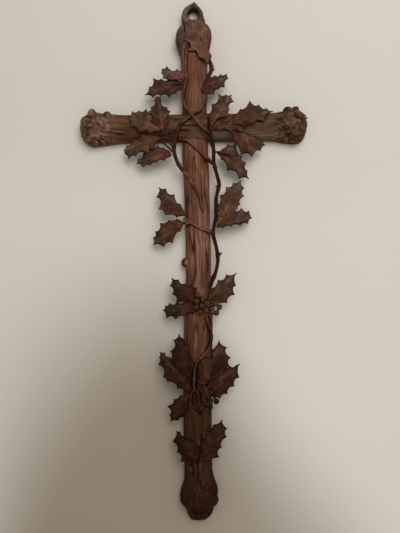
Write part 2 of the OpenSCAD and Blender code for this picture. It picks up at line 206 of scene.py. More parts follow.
def corner_places(uv, i, k, sides):
    """UV places of the corners of the quads and of the end triangles. The map has one more
    column than the rings have points, so that it can close round them without a jump."""
    quads = np.stack([uv[i, k], uv[i, k + 1], uv[i + 1, k + 1], uv[i + 1, k]], 1)
    ends = np.vstack([np.repeat(uv[:1, 0], sides, 0), np.repeat(uv[-1:, 0], sides, 0)])
    return quads, np.repeat(ends[:, None], 3, 1)


print("a tube of 5 rings of 8 points has",
      " quads and ".join(str(len(part)) for part in ring_faces(5, 8, False)[:2]), "end triangles")


# %% From points to a mesh
SHARP = 60


def to_mesh(name, points, quads, fans):
    """Mesh of quads and triangles over points in millimetres, smooth but for edges that turn
    by more than SHARP degrees."""
    mesh = bpy.data.meshes.new(name)
    mesh.vertices.add(len(points))
    mesh.vertices.foreach_set("co", (points * MM).astype(np.float32).ravel())
    numbers = np.concatenate([quads.ravel(), fans.ravel()])
    starts = np.concatenate([np.arange(len(quads)) * 4, len(quads) * 4 + np.arange(len(fans)) * 3])
    mesh.loops.add(len(numbers))
    mesh.loops.foreach_set("vertex_index", numbers.astype(np.int32))
    mesh.polygons.add(len(starts))
    mesh.polygons.foreach_set("loop_start", starts.astype(np.int32))
    mesh.update(calc_edges=True)
    mesh.validate()
    mesh.polygons.foreach_set("use_smooth", np.ones(len(mesh.polygons), bool))
    mesh.set_sharp_from_angle(angle=math.radians(SHARP))
    return mesh


print("edges that turn by more than", SHARP, "degrees stay sharp")


# %% Sewing a piece
MARKS = ("grime_and_shade", "wear_and_highlight", "shade", "tone")


def sew(name, grids, marks, uvs=None, ring_shaped=False):
    """One piece with a closed skin over each grid of points. A fan closes each end, or in a
    ring-shaped skin the last ring meets the first again. Marks hold a value for each point,
    and a fan's middle gets the mean of its ring."""
    points, quads, fans, start = [], [], [], 0
    quad_places, fan_places = [], []
    values = {key: [] for key in marks}
    for g, grid in enumerate(grids):
        rings, sides = grid.shape[:2]
        flat = grid.reshape(-1, 3)
        q, f, i, k = ring_faces(rings, sides, ring_shaped)
        turned = -1 if inside_out(flat, q) else 1
        quads.append(q[:, ::turned] + start)
        points.append(flat)
        for key in values:
            values[key].append(marks[key][g].ravel())
        if uvs is not None:
            on_quads, on_fans = corner_places(uvs[g], i, k, sides)
            quad_places.append(on_quads[:, ::turned].reshape(-1, 2))
            fan_places.append(on_fans.reshape(-1, 2))
        if not ring_shaped:
            fans.append(f[:, ::turned] + start)
            points.append(np.stack([grid[0].mean(0), grid[-1].mean(0)]))
            for key in values:
                values[key].append(marks[key][g][[0, -1]].mean(1))
        start += rings * sides + (0 if ring_shaped else 2)
    fans = fans or [np.zeros((0, 3), int)]
    mesh = to_mesh(name, np.vstack(points), np.vstack(quads), np.vstack(fans))
    if uvs is not None:
        places = np.vstack(quad_places + fan_places)
        mesh.uv_layers.new(name="UVMap").data.foreach_set("uv", places.astype(np.float32).ravel())
    for key, parts in values.items():
        mark = mesh.attributes.new(key, "FLOAT", "POINT")
        mark.data.foreach_set("value", np.concatenate(parts).astype(np.float32))
    piece = bpy.data.objects.new(name, mesh)
    bpy.context.scene.collection.objects.link(piece)
    return piece


print("a piece can keep the marks", ", ".join(MARKS))


# %% Dressing a piece and setting it in its place
def dress(piece, material, node):
    """Gives a piece its finish and its body, and hides the CAD node that it stands for."""
    piece.data.materials.append(material)
    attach(piece, "root")
    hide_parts(node)
    print(f"{piece.name}: {len(piece.data.polygons)} faces, box",
          [round(side / MM, 1) for side in piece.dimensions], "mm")


def settle(points, plain, node):
    """Moves points so that the box of the plain form has its middle where the CAD node's is."""
    low, high = corners(node)
    flat = plain.reshape(-1, 3)
    return points + (low + high) / 2 - (flat.min(0) + flat.max(0)) / 2


# %% [markdown]
# ## Finishes
# The real cross is one kind of wood, stained dark and rubbed with a satin varnish. Stain
# gathers in the grooves and hands rub the ridges lighter. Shade is painted into the colour as
# well: the wood is painted darker towards the foot, where less light falls on it. Image
# textures could show this, but they would fix one size and need unwrapping. Noise stretched
# along the fibres gives the grain, and the marks kept at the points of each surface tell the
# material where its grooves, ridges, painted shade and painted highlights are. What several
# woods share is built once as node groups: the fibres, the stains, the grime and wear with
# painted shade and highlights, and the painted shade towards the foot.


# %% Small helpers for shader nodes
def paint(red, green, blue):
    """Linear colour for screen values from 0 to 255. With c from 0 to 1 it is c / 12.92, and
    ((c + 0.055) / 1.055)^2.4 where c is above 0.04045."""
    c = np.array([red, green, blue]) / 255
    linear = np.where(c > 0.04045, ((c + 0.055) / 1.055) ** 2.4, c / 12.92)
    return (*linear.tolist(), 1.0)


def add(tree, kind, values=None, **settings):
    """Adds a shader node with its settings, and values for its sockets by name or number."""
    node = tree.nodes.new("ShaderNode" + kind)
    for key, value in settings.items():
        setattr(node, key, value)
    for key, value in (values or {}).items():
        if isinstance(value, bpy.types.NodeSocket):
            tree.links.new(value, node.inputs[key])
        else:
            node.inputs[key].default_value = value
    return node


def maths(tree, operation, a, b=0.0, c=None, clamp=False):
    """A Math node's result; MULTIPLY_ADD gives a x b + c."""
    values = {0: a, 1: b} if c is None else {0: a, 1: b, 2: c}
    return add(tree, "Math", values, operation=operation, use_clamp=clamp).outputs[0]


def blend(tree, share, a, b, way="MIX"):
    """Colour a turning by share into colour b, or into a x b where the way is MULTIPLY."""
    return add(tree, "Mix", {0: share, 6: a, 7: b}, data_type="RGBA", blend_type=way).outputs[2]


def ramp(tree, value, low, high, out_low=0.0, out_high=1.0):
    """Out_low up to low, out_high from high on, and 3t^2 - 2t^3 of the way in between."""
    node = add(tree, "MapRange", {"Value": value, "From Min": low, "From Max": high,
                                  "To Min": out_low, "To Max": out_high},
               interpolation_type="SMOOTHSTEP")
    return node.outputs["Result"]


print("mid grey paint is", round(paint(128, 128, 128)[0], 3), "in linear light")


# %% Opening and closing a node group
def new_group(name, inputs, outputs):
    """Empty node group with named sockets. Inputs are (name, kind, value) and outputs are
    names. Returns the group, its inputs and its output node."""
    tree = bpy.data.node_groups.new(name, "ShaderNodeTree")
    for label, kind, value in inputs:
        socket = tree.interface.new_socket(label, in_out="INPUT", socket_type="NodeSocket" + kind)
        socket.default_value = value
    for label in outputs:
        tree.interface.new_socket(label, in_out="OUTPUT", socket_type="NodeSocketFloat")
    return tree, tree.nodes.new("NodeGroupInput").outputs, tree.nodes.new("NodeGroupOutput")


def close_group(tree, end, results):
    """Links results to the group's outputs by name, and gives the group back."""
    for label, value in results.items():
        tree.links.new(value, end.inputs[label])
    print("node group", tree.name, "puts out", ", ".join(results))
    return tree


print(len(bpy.data.node_groups), "node groups so far")

# %% [markdown]
# Wood fibres are long and thin, so their noise is squeezed across them: Stretch says how
# many noise steps a metre holds along each axis. The fine fibres lie about three times
# closer. Stains are wide soft patches, with small dark specks nine times closer.

# %% Fibres and stains
FINER = (3.3, 3.3, 2.2)
tree, given, end = new_group(
    "wood fibres", [("Vector", "Vector", (0, 0, 0)), ("Stretch", "Vector", (300, 300, 20))],
    ["Streaks", "Fine"])
broad = add(tree, "VectorMath", {0: given["Vector"], 1: given["Stretch"]}, operation="MULTIPLY")
close = add(tree, "VectorMath", {0: broad.outputs[0], 1: FINER}, operation="MULTIPLY")
streaks = add(tree, "TexNoise", {"Vector": broad.outputs[0], "Scale": 1.0, "Detail": 4.0,
                                 "Roughness": 0.62, "Distortion": 0.7})
fine = add(tree, "TexNoise", {"Vector": close.outputs[0], "Scale": 1.0, "Detail": 3.0,
                              "Roughness": 0.6, "Distortion": 0.3})
FIBRES = close_group(tree, end, {"Streaks": ramp(tree, streaks.outputs["Fac"], 0.3, 0.7),
                                 "Fine": fine.outputs["Fac"]})

tree, given, end = new_group(
    "stains", [("Vector", "Vector", (0, 0, 0)), ("Size", "Float", 40.0)], ["Patches", "Specks"])
patches = add(tree, "TexNoise", {"Vector": given["Vector"], "Scale": given["Size"], "Detail": 3.0,
                                 "Roughness": 0.55, "Distortion": 0.4})
spots = add(tree, "TexNoise", {"Vector": given["Vector"],
                               "Scale": maths(tree, "MULTIPLY", given["Size"], 9.0), "Detail": 2.0})
STAINS = close_group(tree, end, {"Patches": ramp(tree, patches.outputs["Fac"], 0.3, 0.7),
                                 "Specks": ramp(tree, spots.outputs["Fac"], 0.6, 0.72)})

# %% [markdown]
# The dark mark turns to grime and painted shade by mark x (0.9 + 0.35 patches), so it lies
# thicker where the stain is patchy. The pale mark turns to wear and painted highlight by
# mark x (0.3 + 0.7 patches). Towards the foot of the cross, from 27 to 50 cm below the eye,
# the light of the wood sinks to its least value: shade painted into the colour.

# %% Grime, wear, painted shade and highlights, and painted shade at the foot
FOOT_DARK, FOOT_LIGHT = -0.50, -0.27
tree, given, end = new_group(
    "dirt and rubbing_and_highlight", [("Grime and shade", "Float", 0.0), ("Wear and highlight", "Float", 0.0), ("Patches", "Float", 0.5)],
    ["Grime and painted shade", "Wear and painted highlight"])
# Grime and painted shade come from the dark mark, wear and painted highlights from the pale one.
thick = maths(tree, "MULTIPLY_ADD", given["Patches"], 0.35, -0.1)
extra = maths(tree, "MULTIPLY", thick, given["Grime and shade"])
worn_and_lit = maths(tree, "MULTIPLY_ADD", given["Patches"], 0.7, 0.3)
DIRT_WEAR_AND_PAINTED_LIGHT = close_group(tree, end, {
    "Grime and painted shade": maths(tree, "ADD", given["Grime and shade"], extra, clamp=True),
    "Wear and painted highlight": maths(tree, "MULTIPLY", given["Wear and highlight"], worn_and_lit, clamp=True)})

tree, given, end = new_group(
    "painted shade towards foot", [("Vector", "Vector", (0, 0, 0)), ("Least", "Float", 0.4)], ["Light"])
height = add(tree, "SeparateXYZ", {0: given["Vector"]}).outputs["Z"]
share = ramp(tree, height, FOOT_DARK, FOOT_LIGHT)
span = maths(tree, "SUBTRACT", 1.0, given["Least"])
PAINTED_FOOT_SHADE = close_group(tree, end, {"Light": maths(tree, "MULTIPLY_ADD", share, span, given["Least"])})

# %% [markdown]
# A wood is three colours: the stain in the grooves and in painted shade, the common colour
# and the rubbed ridges and painted highlights. Its grain follows the length of each piece: the
# Object coordinates' Z on the upright, their X on the crossbeam, and on stems and leaves a UV map that
# runs along them.
# All the woods are the same varnish, so one function makes them, and the marks of a piece
# turn its colour here and there towards olive or red, as old stain does.


# %% One wood from its colours
OLIVE = (0.89, 1.24, 1.56, 1.0)
REDDER = (1.0, 0.80, 0.66, 1.0)
FIBRE_HEIGHT = 0.0005


def wood(name, deep, common, rubbed, stretch, on_uv=False, least=0.45, rough=(0.55, 0.72),
         gloss=0.07, patch_size=45.0, dark=0.68, fade=(1.27, 1.65)):
    """Wood whose colour goes from dark x common between the streaks to common on them, then to
    rubbed on wear and painted highlights, times olive or redder by its tone, then to deep in
    specks, grime and painted shade. All of it is multiplied by light = the painted shade towards
    the foot x (1 - shade), green and blue by powers of it, fade, so that dark places turn warm.
    Roughness is the first of rough in the patches, the second outside them, and 0.2 more in grime
    and painted shade. Gloss is how much shines."""
    material = bpy.data.materials.new(name)
    material.use_nodes = True
    tree = material.node_tree
    shader = tree.nodes["Principled BSDF"]
    place = add(tree, "TexCoord")
    where = place.outputs["Object"]
    along = place.outputs["UV"] if on_uv else where
    marks = {key: add(tree, "Attribute", attribute_name=key).outputs["Fac"] for key in MARKS}
    fibres = add(tree, "Group", {"Vector": along, "Stretch": stretch}, node_tree=FIBRES).outputs
    stains = add(tree, "Group", {"Vector": where, "Size": patch_size}, node_tree=STAINS).outputs
    age = add(tree, "Group", {"Grime and shade": marks["grime_and_shade"], "Wear and highlight": marks["wear_and_highlight"],
                              "Patches": stains["Patches"]}, node_tree=DIRT_WEAR_AND_PAINTED_LIGHT).outputs
    foot = add(tree, "Group", {"Vector": where, "Least": least}, node_tree=PAINTED_FOOT_SHADE).outputs
    streak = maths(tree, "MULTIPLY_ADD", fibres["Streaks"], 0.75,
                   maths(tree, "MULTIPLY", stains["Patches"], 0.25))
    specks = maths(tree, "MULTIPLY", stains["Specks"], 0.35)
    redder = maths(tree, "MULTIPLY", marks["tone"], -1.0)
    colour = blend(tree, streak, tuple(dark * c for c in common[:3]) + (1,), common)
    colour = blend(tree, age["Wear and painted highlight"], colour, rubbed)
    colour = blend(tree, marks["tone"], colour, OLIVE, "MULTIPLY")
    colour = blend(tree, redder, colour, REDDER, "MULTIPLY")
    colour = blend(tree, specks, colour, deep)
    colour = blend(tree, age["Grime and painted shade"], colour, deep)
    # The light of the colour is painted: darker towards the foot and by the shade mark.
    light = maths(tree, "MULTIPLY", foot["Light"], maths(tree, "SUBTRACT", 1.0, marks["shade"]))
    warm = add(tree, "CombineColor", {0: light, 1: maths(tree, "POWER", light, fade[0]),
                                      2: maths(tree, "POWER", light, fade[1])}).outputs[0]
    colour = blend(tree, 1.0, colour, warm, "MULTIPLY")
    satin = ramp(tree, stains["Patches"], 0.0, 1.0, rough[1], rough[0])
    dull = maths(tree, "MULTIPLY_ADD", age["Grime and painted shade"], 0.2, satin)
    height = maths(tree, "MULTIPLY_ADD", fibres["Fine"], 0.4, fibres["Streaks"])
    bump = add(tree, "Bump", {"Strength": 0.5, "Distance": FIBRE_HEIGHT, "Height": height})
    tree.links.new(colour, shader.inputs["Base Color"])
    tree.links.new(dull, shader.inputs["Roughness"])
    tree.links.new(bump.outputs[0], shader.inputs["Normal"])
    shader.inputs["Specular IOR Level"].default_value = gloss
    print("finish", name)
    return material


BARK = wood("upright bark", paint(44, 22, 12), paint(109, 69, 49), paint(150, 108, 88),
            (330, 330, 14), least=0.25, gloss=0.04, dark=0.59, fade=(1.05, 1.2))
BEAM_BARK = wood("crossbeam bark", paint(40, 23, 13), paint(88, 58, 40), paint(112, 82, 59),
                 (14, 330, 330))
EYE_BARK = wood("eye bark", paint(34, 22, 14), paint(82, 61, 47), paint(122, 99, 81),
                (300, 300, 40))
STEM = wood("stem wood", paint(28, 14, 8), paint(76, 46, 32), paint(136, 96, 74),
            (0.09, 1.6, 1.0), on_uv=True, least=0.28, rough=(0.5, 0.62))
LEAF = wood("leaf wood", paint(25, 13, 8), paint(82, 52, 37), paint(120, 85, 66),
            (0.16, 0.5, 1.0), on_uv=True, least=0.265, rough=(0.5, 0.64), gloss=0.04,
            patch_size=70.0)
BERRY = wood("berry wood", paint(24, 13, 8), paint(76, 47, 34), paint(122, 86, 66),
             (260, 260, 260), least=0.5, rough=(0.45, 0.6))
PEG = wood("peg wood", paint(48, 32, 20), paint(120, 88, 60), paint(150, 118, 86),
           (500, 60, 500))

# %% [markdown]
# ## Where the stems run and what the knife drew
# The routes of the stems come first, because a shallow line is cut into the logs just below
# each stem and painted dark as the stem's shadow. A route could be a curve drawn by hand in the
# viewport. As a table of points it can be measured and changed: each point is x, z and the height off the
# wall.

# %% Routes of stems, stalks and thorns
STEM_D, LOWER_STEM_D, STALK_D, BERRY_D = 4.5, 3.9, 3.0, 6.5
STEMS = {
    "stem_upper_left": [[-7.5, -45, 21], [-9.5, -54, 18], [-10, -66, 18], [-9, -78, 20], [-12, -88, 18],
                        [-13, -98, 18], [-10, -111, 21], [-2, -123, 27], [4, -131, 27], [11, -137, 25],
                        [17, -142, 23]],
    "stem_upper_right": [[15.5, -53, 18], [19.5, -61, 15], [19.5, -68, 15], [16, -75, 16],
                         [12, -86, 18], [12, -95, 18], [10, -106, 20], [5, -115, 22.5],
                         [-1, -118, 22], [-9, -124, 22], [-16, -130, 22], [-20, -140, 22],
                         [-23, -150, 21], [-24, -161, 19], [-21, -172, 17], [-15, -182, 17],
                         [-9, -189, 20], [-4, -198, 22], [1, -207, 22.5], [5, -216, 22],
                         [7, -229, 21]],
    "stem_crossing": [[-14, -147, 19], [-8, -149, 21], [-4, -153, 22], [1, -158, 22.5], [8, -164, 21],
                      [14, -170, 19], [20, -176, 17]],
    "stem_right": [[17, -122, 21], [17, -136, 22.5], [18, -146, 21], [21, -158, 18], [21, -172, 16],
                   [24, -186, 15], [27, -198, 14], [24, -211, 14], [23, -222, 14], [23, -234, 15],
                   [20, -248, 16], [19, -256, 16], [21, -264, 15], [23, -272, 14], [24, -280, 14],
                   [24, -288, 14], [22, -298, 15], [18, -308, 17], [14, -318, 19]],
    "stem_tendril": [[18, -254, 17], [9, -251, 20], [4, -249, 22], [-1, -246, 22.5], [-6, -243, 22],
                     [-10, -243, 20], [-13, -245, 18]],
    "stem_lower": [[10, -350, 20], [13, -360, 18], [15.5, -368, 16.5], [16, -375, 16.5], [14, -383, 18],
                   [9, -391, 21], [2, -398, 22.5], [-2, -402, 23], [-4, -410, 25], [-5, -422, 26],
                   [-5, -434, 26]],
    "stem_foot": [[-6, -506, 25], [-5.5, -515, 24], [-5, -526, 22.5], [-4.5, -535, 23],
                  [-4.5, -544, 24.5]],
    "stem_fork_left": [[-5, -431, 26], [-8, -437, 25], [-9.5, -444, 24.5], [-8, -451, 23],
                       [-4.5, -456, 21]],
    "stem_fork_right": [[-5, -431, 26], [-1, -437, 25], [0.5, -444, 24.5], [-0.5, -451, 23],
                        [-4, -456, 21]],
}
STALKS = [
    [[-25, -163, 20], [-29, -158, 21], [-34, -154, 22], [-39, -148, 22]],
    [[-24, -160, 20], [-26, -156, 20], [-29, -151, 20]],
    [[-22, -142, 23], [-28, -140, 24], [-34, -143, 24]],
    [[22, -162, 17], [28, -162, 18], [36, -164, 19]],
    [[10, -350, 20], [10.5, -345, 22.5], [10, -338, 24], [6, -330, 25], [0.5, -325, 25]],
    [[9.7, -344.2, 22.6], [15.5, -341.4, 23.4], [20, -335.5, 23]],
    [[9.9, -347.6, 21.5], [15.6, -346.6, 22.1], [21.5, -346, 21], [24.5, -339, 21.5]],
    [[9.4, -339.6, 23.7], [5, -337, 25], [-0.5, -339, 25]],
    [[5.5, -329.5, 25], [2.5, -331.5, 25], [-0.8, -332.1, 25]],
    [[10.2, -347, 21.8], [7, -346.5, 23.5], [3.4, -344.2, 24.3]],
    [[16, -438, 24], [18, -442, 24], [20, -446, 24]],
    [[1, -245.5, 22.5], [-7, -241.5, 21.5], [-15, -238, 19]],
    [[-8.5, -82.5, 20], [-16, -84.5, 22], [-26, -86, 22]],
]
# A thorn is its foot and tip as x and z, its width and its height off the wall.
THORNS = [
    ([17.5, -66.5], [24, -66.5], 12, 14.5),
    ([24.5, -203], [29.5, -199], 7, 14),
    ([23, -280], [29.5, -277.5], 9, 14.5),
]
print(len(STEMS), "stems,", len(STALKS), "stalks and", len(THORNS), "thorns")

# %% [markdown]
# On the real cross the curls, rims and knots were drawn with the knife, one by one. Noise
# cannot place such lines, so they are tables too: the points of a line as x and z, how high
# it stands, or below 0 how deep it is cut, and its width, all in millimetres. Just below every
# stem runs a shallow cut painted dark as the stem's shadow, and the lower stem has one on each side.

# %% Knife lines
LINES = {
    "upright": [
        ([[-12.5, -41], [-13, -72]], 0.7, 0.7), ([[-10.5, -43.5], [-11, -73.5]], -0.7, 0.6),
        ([[-9, -44], [-9, -72]], 0.5, 0.6), ([[-7, -47], [-7.5, -67.5]], -0.7, 0.6),
        ([[8, -53], [8, -81.5]], -0.45, 0.5), ([[13, -57], [12, -78], [13, -93]], 0.5, 0.6),
        ([[10.5, -82], [11.5, -92.5]], -0.5, 0.5), ([[-6.5, -93], [-6, -112.5]], -0.35, 0.45),
        ([[-3.5, -91], [-3.5, -110.5]], -0.35, 0.45), ([[6, -84], [7.5, -100]], -0.3, 0.45),
        ([[6.5, -121.5], [16.5, -121.5]], -0.5, 0.45), ([[7.5, -124.5], [16, -124.5]], -0.45, 0.4),
        ([[10, -127], [15.5, -127.5]], -0.4, 0.4), ([[1.5, -145], [13.5, -145.5]], 0.6, 0.6),
        ([[0, -146.5], [15, -147.5]], -0.6, 0.5), ([[-12, -130], [-8.5, -132], [-7.5, -134]], 0.5, 0.6),
        ([[-12, -132], [-9.5, -134]], -0.4, 0.6), ([[-4.5, -514], [-4.5, -545]], 1.0, 2.0),
        ([[-2, -519.5], [-1.5, -535.5], [2, -543.5], [8, -547.5]], -0.6, 0.9),
        ([[-10.5, -520], [-6.8, -521.5], [-6.2, -526], [-8, -530]], -0.9, 1.2),
        ([[-9.4, -524.5], [-9.2, -527]], 0.9, 0.8), ([[6, -480.5], [5.5, -490]], 0.8, 1.3),
        ([[2.7, -484], [2.7, -491]], -0.9, 1.1), ([[1, -536.5], [1, -537.5]], -0.9, 0.9),
        ([[5.5, -542], [5.5, -543]], -0.9, 0.9), ([[-4.5, -549], [-4, -567.5]], 0.6, 0.8),
        ([[-7.5, -549], [-7.5, -565]], -0.5, 0.6),
        ([[-11.5, -573], [-0.5, -573.5], [7.5, -572.5]], -0.9, 1),
        ([[6.5, -565.5], [6.5, -566.5]], 0.9, 1.2), ([[6, -571.5], [6, -572.5]], 0.8, 1)],
    "crossbeam": [
        ([[6.5, -121.5], [16.5, -121.5]], -0.5, 0.45), ([[7.5, -124.5], [16, -124.5]], -0.45, 0.4),
        ([[-21, -143.5], [-7, -145.5]], 0.4, 0.6), ([[1.5, -145], [13.5, -145.5]], 0.6, 0.6),
        ([[0, -146.5], [15, -147.5]], -0.6, 0.5),
        ([[-126.5, -117], [-120.5, -120.5], [-116, -119.5]], -0.7, 0.8),
        ([[-119.5, -126.5], [-115, -129.5], [-111.5, -127.5]], -0.7, 0.8),
        ([[-127.5, -131.5], [-123, -135], [-117.5, -134]], -0.7, 0.8)],
    "crown_leaf": [
        ([[-10.5, -35], [-7.5, -36], [-4.5, -38], [-3, -41], [-2.5, -45]], 1.3, 0.8),
        ([[-9.5, -38], [-7.5, -39], [-5.5, -41], [-4.5, -44]], -1.6, 1),
        ([[-7, -46.5], [-2, -46], [2.5, -46.5], [4, -48.5], [5.5, -52]], 0.9, 0.7),
        ([[6, -54.5], [9, -55], [12.5, -54.5]], 0.8, 0.7),
        ([[-6, -24.5], [-5, -27], [-3, -29], [-0.5, -27], [1, -24.5]], 0.5, 0.45),
        ([[-3, -24], [-3, -24.5]], -0.7, 0.6), ([[-3, -33], [-3, -33.5]], -0.7, 0.6),
        ([[10, -28], [10, -35.5]], 0.6, 0.5), ([[14, -28.5], [14, -35.5]], 0.6, 0.5),
        ([[12, -27], [12, -34.5]], -0.6, 0.4), ([[15.5, -27], [15.5, -35]], -0.6, 0.4),
        ([[4.5, -34.5], [6, -37.5], [8, -42]], 0.7, 0.6), ([[8, -35], [9.5, -38.5]], -0.7, 0.5),
        ([[10.5, -38.5], [14, -38], [17.5, -37]], 0.7, 0.5), ([[17, -39], [17, -46.5]], -0.7, 0.5),
        ([[-10, -19], [-10, -24.5], [-10.5, -31.5]], -0.8, 0.6), ([[-8.5, -20], [-8.5, -25]], 0.5, 0.5)],
    "leaf_low_left_upper": [
        ([[-4, -400.5], [-4.5, -417.5]], 0.7, 0.6),
        ([[-19.5, -400.5], [-15.5, -403.5], [-14, -407]], 0.7, 0.7),
        ([[-16, -408.5], [-12, -410.5], [-9, -416.5]], 0.6, 0.7),
        ([[-13, -405], [-10, -409.5]], -0.7, 0.7)],
    "leaf_low_right_front": [
        ([[-2, -419.5], [0.5, -421.5], [5, -425], [9.5, -424], [12, -418.5]], 0.8, 0.7),
        ([[0, -417.5], [5, -422], [9, -421]], -0.5, 0.6), ([[6.5, -396], [6.5, -416]], 0.6, 0.6),
        ([[7, -407], [1.5, -400.5]], 0.4, 0.5), ([[7, -407], [13.5, -400.5]], 0.4, 0.5)],
    "leaf_low_right_small": [
        ([[15, -430], [15, -446]], 0.8, 0.6), ([[12.5, -430], [13, -439]], -0.6, 0.6),
        ([[5.5, -439.5], [9, -438], [13, -440], [13.5, -444.5], [11, -448.5], [6.5, -448], [5, -444],
          [5.5, -439.5]], 0.9, 0.7),
        ([[8.5, -442], [10.5, -445]], -0.9, 1), ([[-1, -451.5], [7, -452.5], [15, -452]], -0.9, 0.8)],
}
# Painted shadow: a shallow cut just below each stem, painted dark as the stem's shadow.
STEM_SHADOW_CUTS = [([[x + 0.7, z - 1.5] for x, z, out in route], -0.8, 1.0)
                for route in STEMS.values()]
STEM_SHADOW_CUTS += [([[x + side * 2.4, z + side * 1.2] for x, z, out in STEMS["stem_lower"]], -0.9, 0.9)
                 for side in (-1, 1)]
print(sum(len(rows) for rows in LINES.values()), "knife lines and", len(STEM_SHADOW_CUTS), "beside stems")

# %% [markdown]
# ## The two logs
# Both logs are half-round: a square-sided back part of 5 mm and a turned front. They could
# be the CAD nodes with a bumpy material, but bark shows at the outline too, so each log is
# a skin of rings, one about every millimetre. The furrows are cut inward along the winding
# lines where a stretched noise is 0, and round knobs swell out for burls and buds. The
# carving fades out over the last 2.5 mm before the flat back.

# %% Rings of a half-round log
BACK_DEPTH = 5.0
BACK_FADE = 2.5
HOLLOW = 0.3
LAP_OUT = 10.0
FURROW, FURROW_LONG = 3.2, 48.0


def even(at, table):
    """Straight lines between the rows of a table, averaged over 4 mm to round the corners."""
    rows = np.array(table, float)
    rows = rows[np.argsort(rows[:, 0])]
    near = at + np.linspace(-2, 2, 9)[:, None]
    return np.stack([np.interp(near, rows[:, 0], column).mean(0) for column in rows[:, 1:].T])


def log_rings(low, high, bulge=1.0):
    """One ring for each pair of half widths, to the low and the high side of the middle line:
    up the high side, over the front (across = half width x cos t, out = 5 + bulge x wider
    half x sin t, t from 0 to pi), down the low side and back over the slightly hollow back.
    Returns across, out, and the distance walked round the front."""
    low, high, bulge = low[:, None], high[:, None], np.reshape(bulge, (-1, 1))
    half = np.maximum(low, high)
    t = np.linspace(0, np.pi, 97)[None]
    up = np.linspace(0, BACK_DEPTH, 6)[None, :-1] + 0 * low
    s = np.linspace(-1, 1, 16)[None, 1:-1]
    across = np.hstack([high + 0 * up, np.where(t < np.pi / 2, high, low) * np.cos(t), -low + 0 * up,
                        np.where(s < 0, low, high) * s])
    out = np.hstack([up, BACK_DEPTH + bulge * half * np.sin(t), up[:, ::-1],
                     HOLLOW * (1 - s * s) + 0 * low])
    walked = np.hstack([up - BACK_DEPTH, half * t, half * np.pi + BACK_DEPTH - up[:, ::-1],
                        0 * s + half * np.pi + BACK_DEPTH])
    return across, out, walked


def bark_cut(walked, along, seed):
    """Depth of the bark in mm, and its grooves and ridges from 0 to 1. Furrows are the lines
    where a noise of about 3 by 48 mm is 0, with fine lines half as far apart and wide plates
    between them. Fibres wander sideways by a wider noise, and some places have less bark."""
    walked = (walked + 1.6 * smooth_noise(along / 38, walked / 14, seed)
              + 0.4 * smooth_noise(along / 9, walked / 5, seed + 5))
    deep = grooves(walked / FURROW, along / FURROW_LONG, seed + 1, 0.13)
    fine = grooves(walked / (0.42 * FURROW), along / (0.5 * FURROW_LONG), seed + 2, 0.22)
    plates = 0.5 + 0.5 * smooth_noise(walked / 6, along / 34, seed + 3)
    some = np.clip(0.5 + 0.9 * smooth_noise(walked / 8, along / 26, seed + 7), 0.15, 1)
    crests = grooves(walked / (0.8 * FURROW), along / (0.7 * FURROW_LONG), seed + 4, 0.16)
    depth = some * (0.6 * deep + 0.2 * fine * (1 - deep)) + 0.35 * plates
    grime_and_shade = np.clip(some * (0.8 * deep + 0.3 * fine), 0, 1)
    wear_and_highlight = np.clip((0.8 * crests + 0.35) * (1 - 1.6 * deep) - 0.35 * plates, 0, 1)
    return depth, grime_and_shade, wear_and_highlight


peg_low, peg_high = corners("lap_pegs")
BEAM_Z = (peg_low[2] + peg_high[2]) / 2
print("the crossbeam's middle lies at z", round(BEAM_Z, 2), "mm, where the lap pegs are")

# %% [markdown]
# The upright log tapers into a neck under the hanging eye and swells into a burl at its
# foot. It could be turned on a lathe, but the real log isn't even: a table gives its half
# width to the left and to the right of the middle line at each height, and a second one
# how far that line bows to the right. A knob is x, z, radius and height off the wall.

# %% Outline of the upright
UPRIGHT = [
    (-9, 1.5, 4), (-9.6, 6, 10), (-10.4, 9.5, 13.6), (-12, 12.8, 15.8), (-14.5, 16.2, 18.2),
    (-19, 19.9, 20.6), (-26, 21.2, 21), (-33, 20.8, 19.4), (-40, 18.4, 17.6), (-47, 16, 16.2),
    (-56, 15, 15.3), (-85, 15, 15.2), (-112, 14.4, 13.7), (-162, 15.5, 14.7), (-190, 14.4, 15.4),
    (-222, 13.6, 15.6), (-262, 13.2, 15.8), (-305, 13.4, 16.1), (-355, 16, 17.2), (-373, 16.3, 17),
    (-420, 16.6, 16), (-478, 17.3, 15.8), (-530, 16.2, 15.9), (-540, 16.5, 17.8), (-545.5, 18, 20),
    (-551, 20, 22), (-556, 21.2, 22.6), (-561, 22, 21.6), (-566, 21.6, 20), (-569, 19, 18.6),
    (-573, 15.6, 17.4), (-578, 13.8, 16.4), (-582, 12.6, 14.4), (-585, 11, 12), (-587, 9, 8.8),
]
BOW = [(-587, -1.6), (-530, -1.5), (-440, -0.7), (-330, 0.5), (-250, 0.6), (-60, 0)]
UPRIGHT_KNOBS = [
    (-12.3, -288, 5.6, 7), (-13, -560, 8, 14), (13, -561, 8, 14), (0, -574, 9, 13),
    (13, -28, 6, 14), (-14, -32, 7, 14), (-10, -525, 3, 17),
]
UPRIGHT_TOP = -9
BEAM_R = 15.5
JOINT_GAP = 0.05
foot_z = corners("upright")[0][2]
lap_edges = BEAM_Z + np.array([-BEAM_R - JOINT_GAP, -BEAM_R + JOINT_GAP, BEAM_R - JOINT_GAP,
                               BEAM_R + JOINT_GAP])
z = np.unique(np.concatenate([np.linspace(foot_z, UPRIGHT_TOP, 590), lap_edges,
                              np.linspace(-14, UPRIGHT_TOP, 14)]))[::-1]
left, right = even(z, UPRIGHT)
across, out, walked = log_rings(left, right, np.interp(z, [-587, -578, -564], [0.55, 0.8, 1]))
upright = np.stack([across + even(z, BOW)[0][:, None], -out, z[:, None] + 0 * across], 2)
front = slope(out, 0, BACK_FADE)
upright, swell = cover_knobs(upright, UPRIGHT_KNOBS, facing(upright) * front[..., None])
print(len(z), "rings from z", z[0], "to", round(z[-1], 1), "mm; the knobs swell by up to",
      round(swell.max(), 1), "mm")
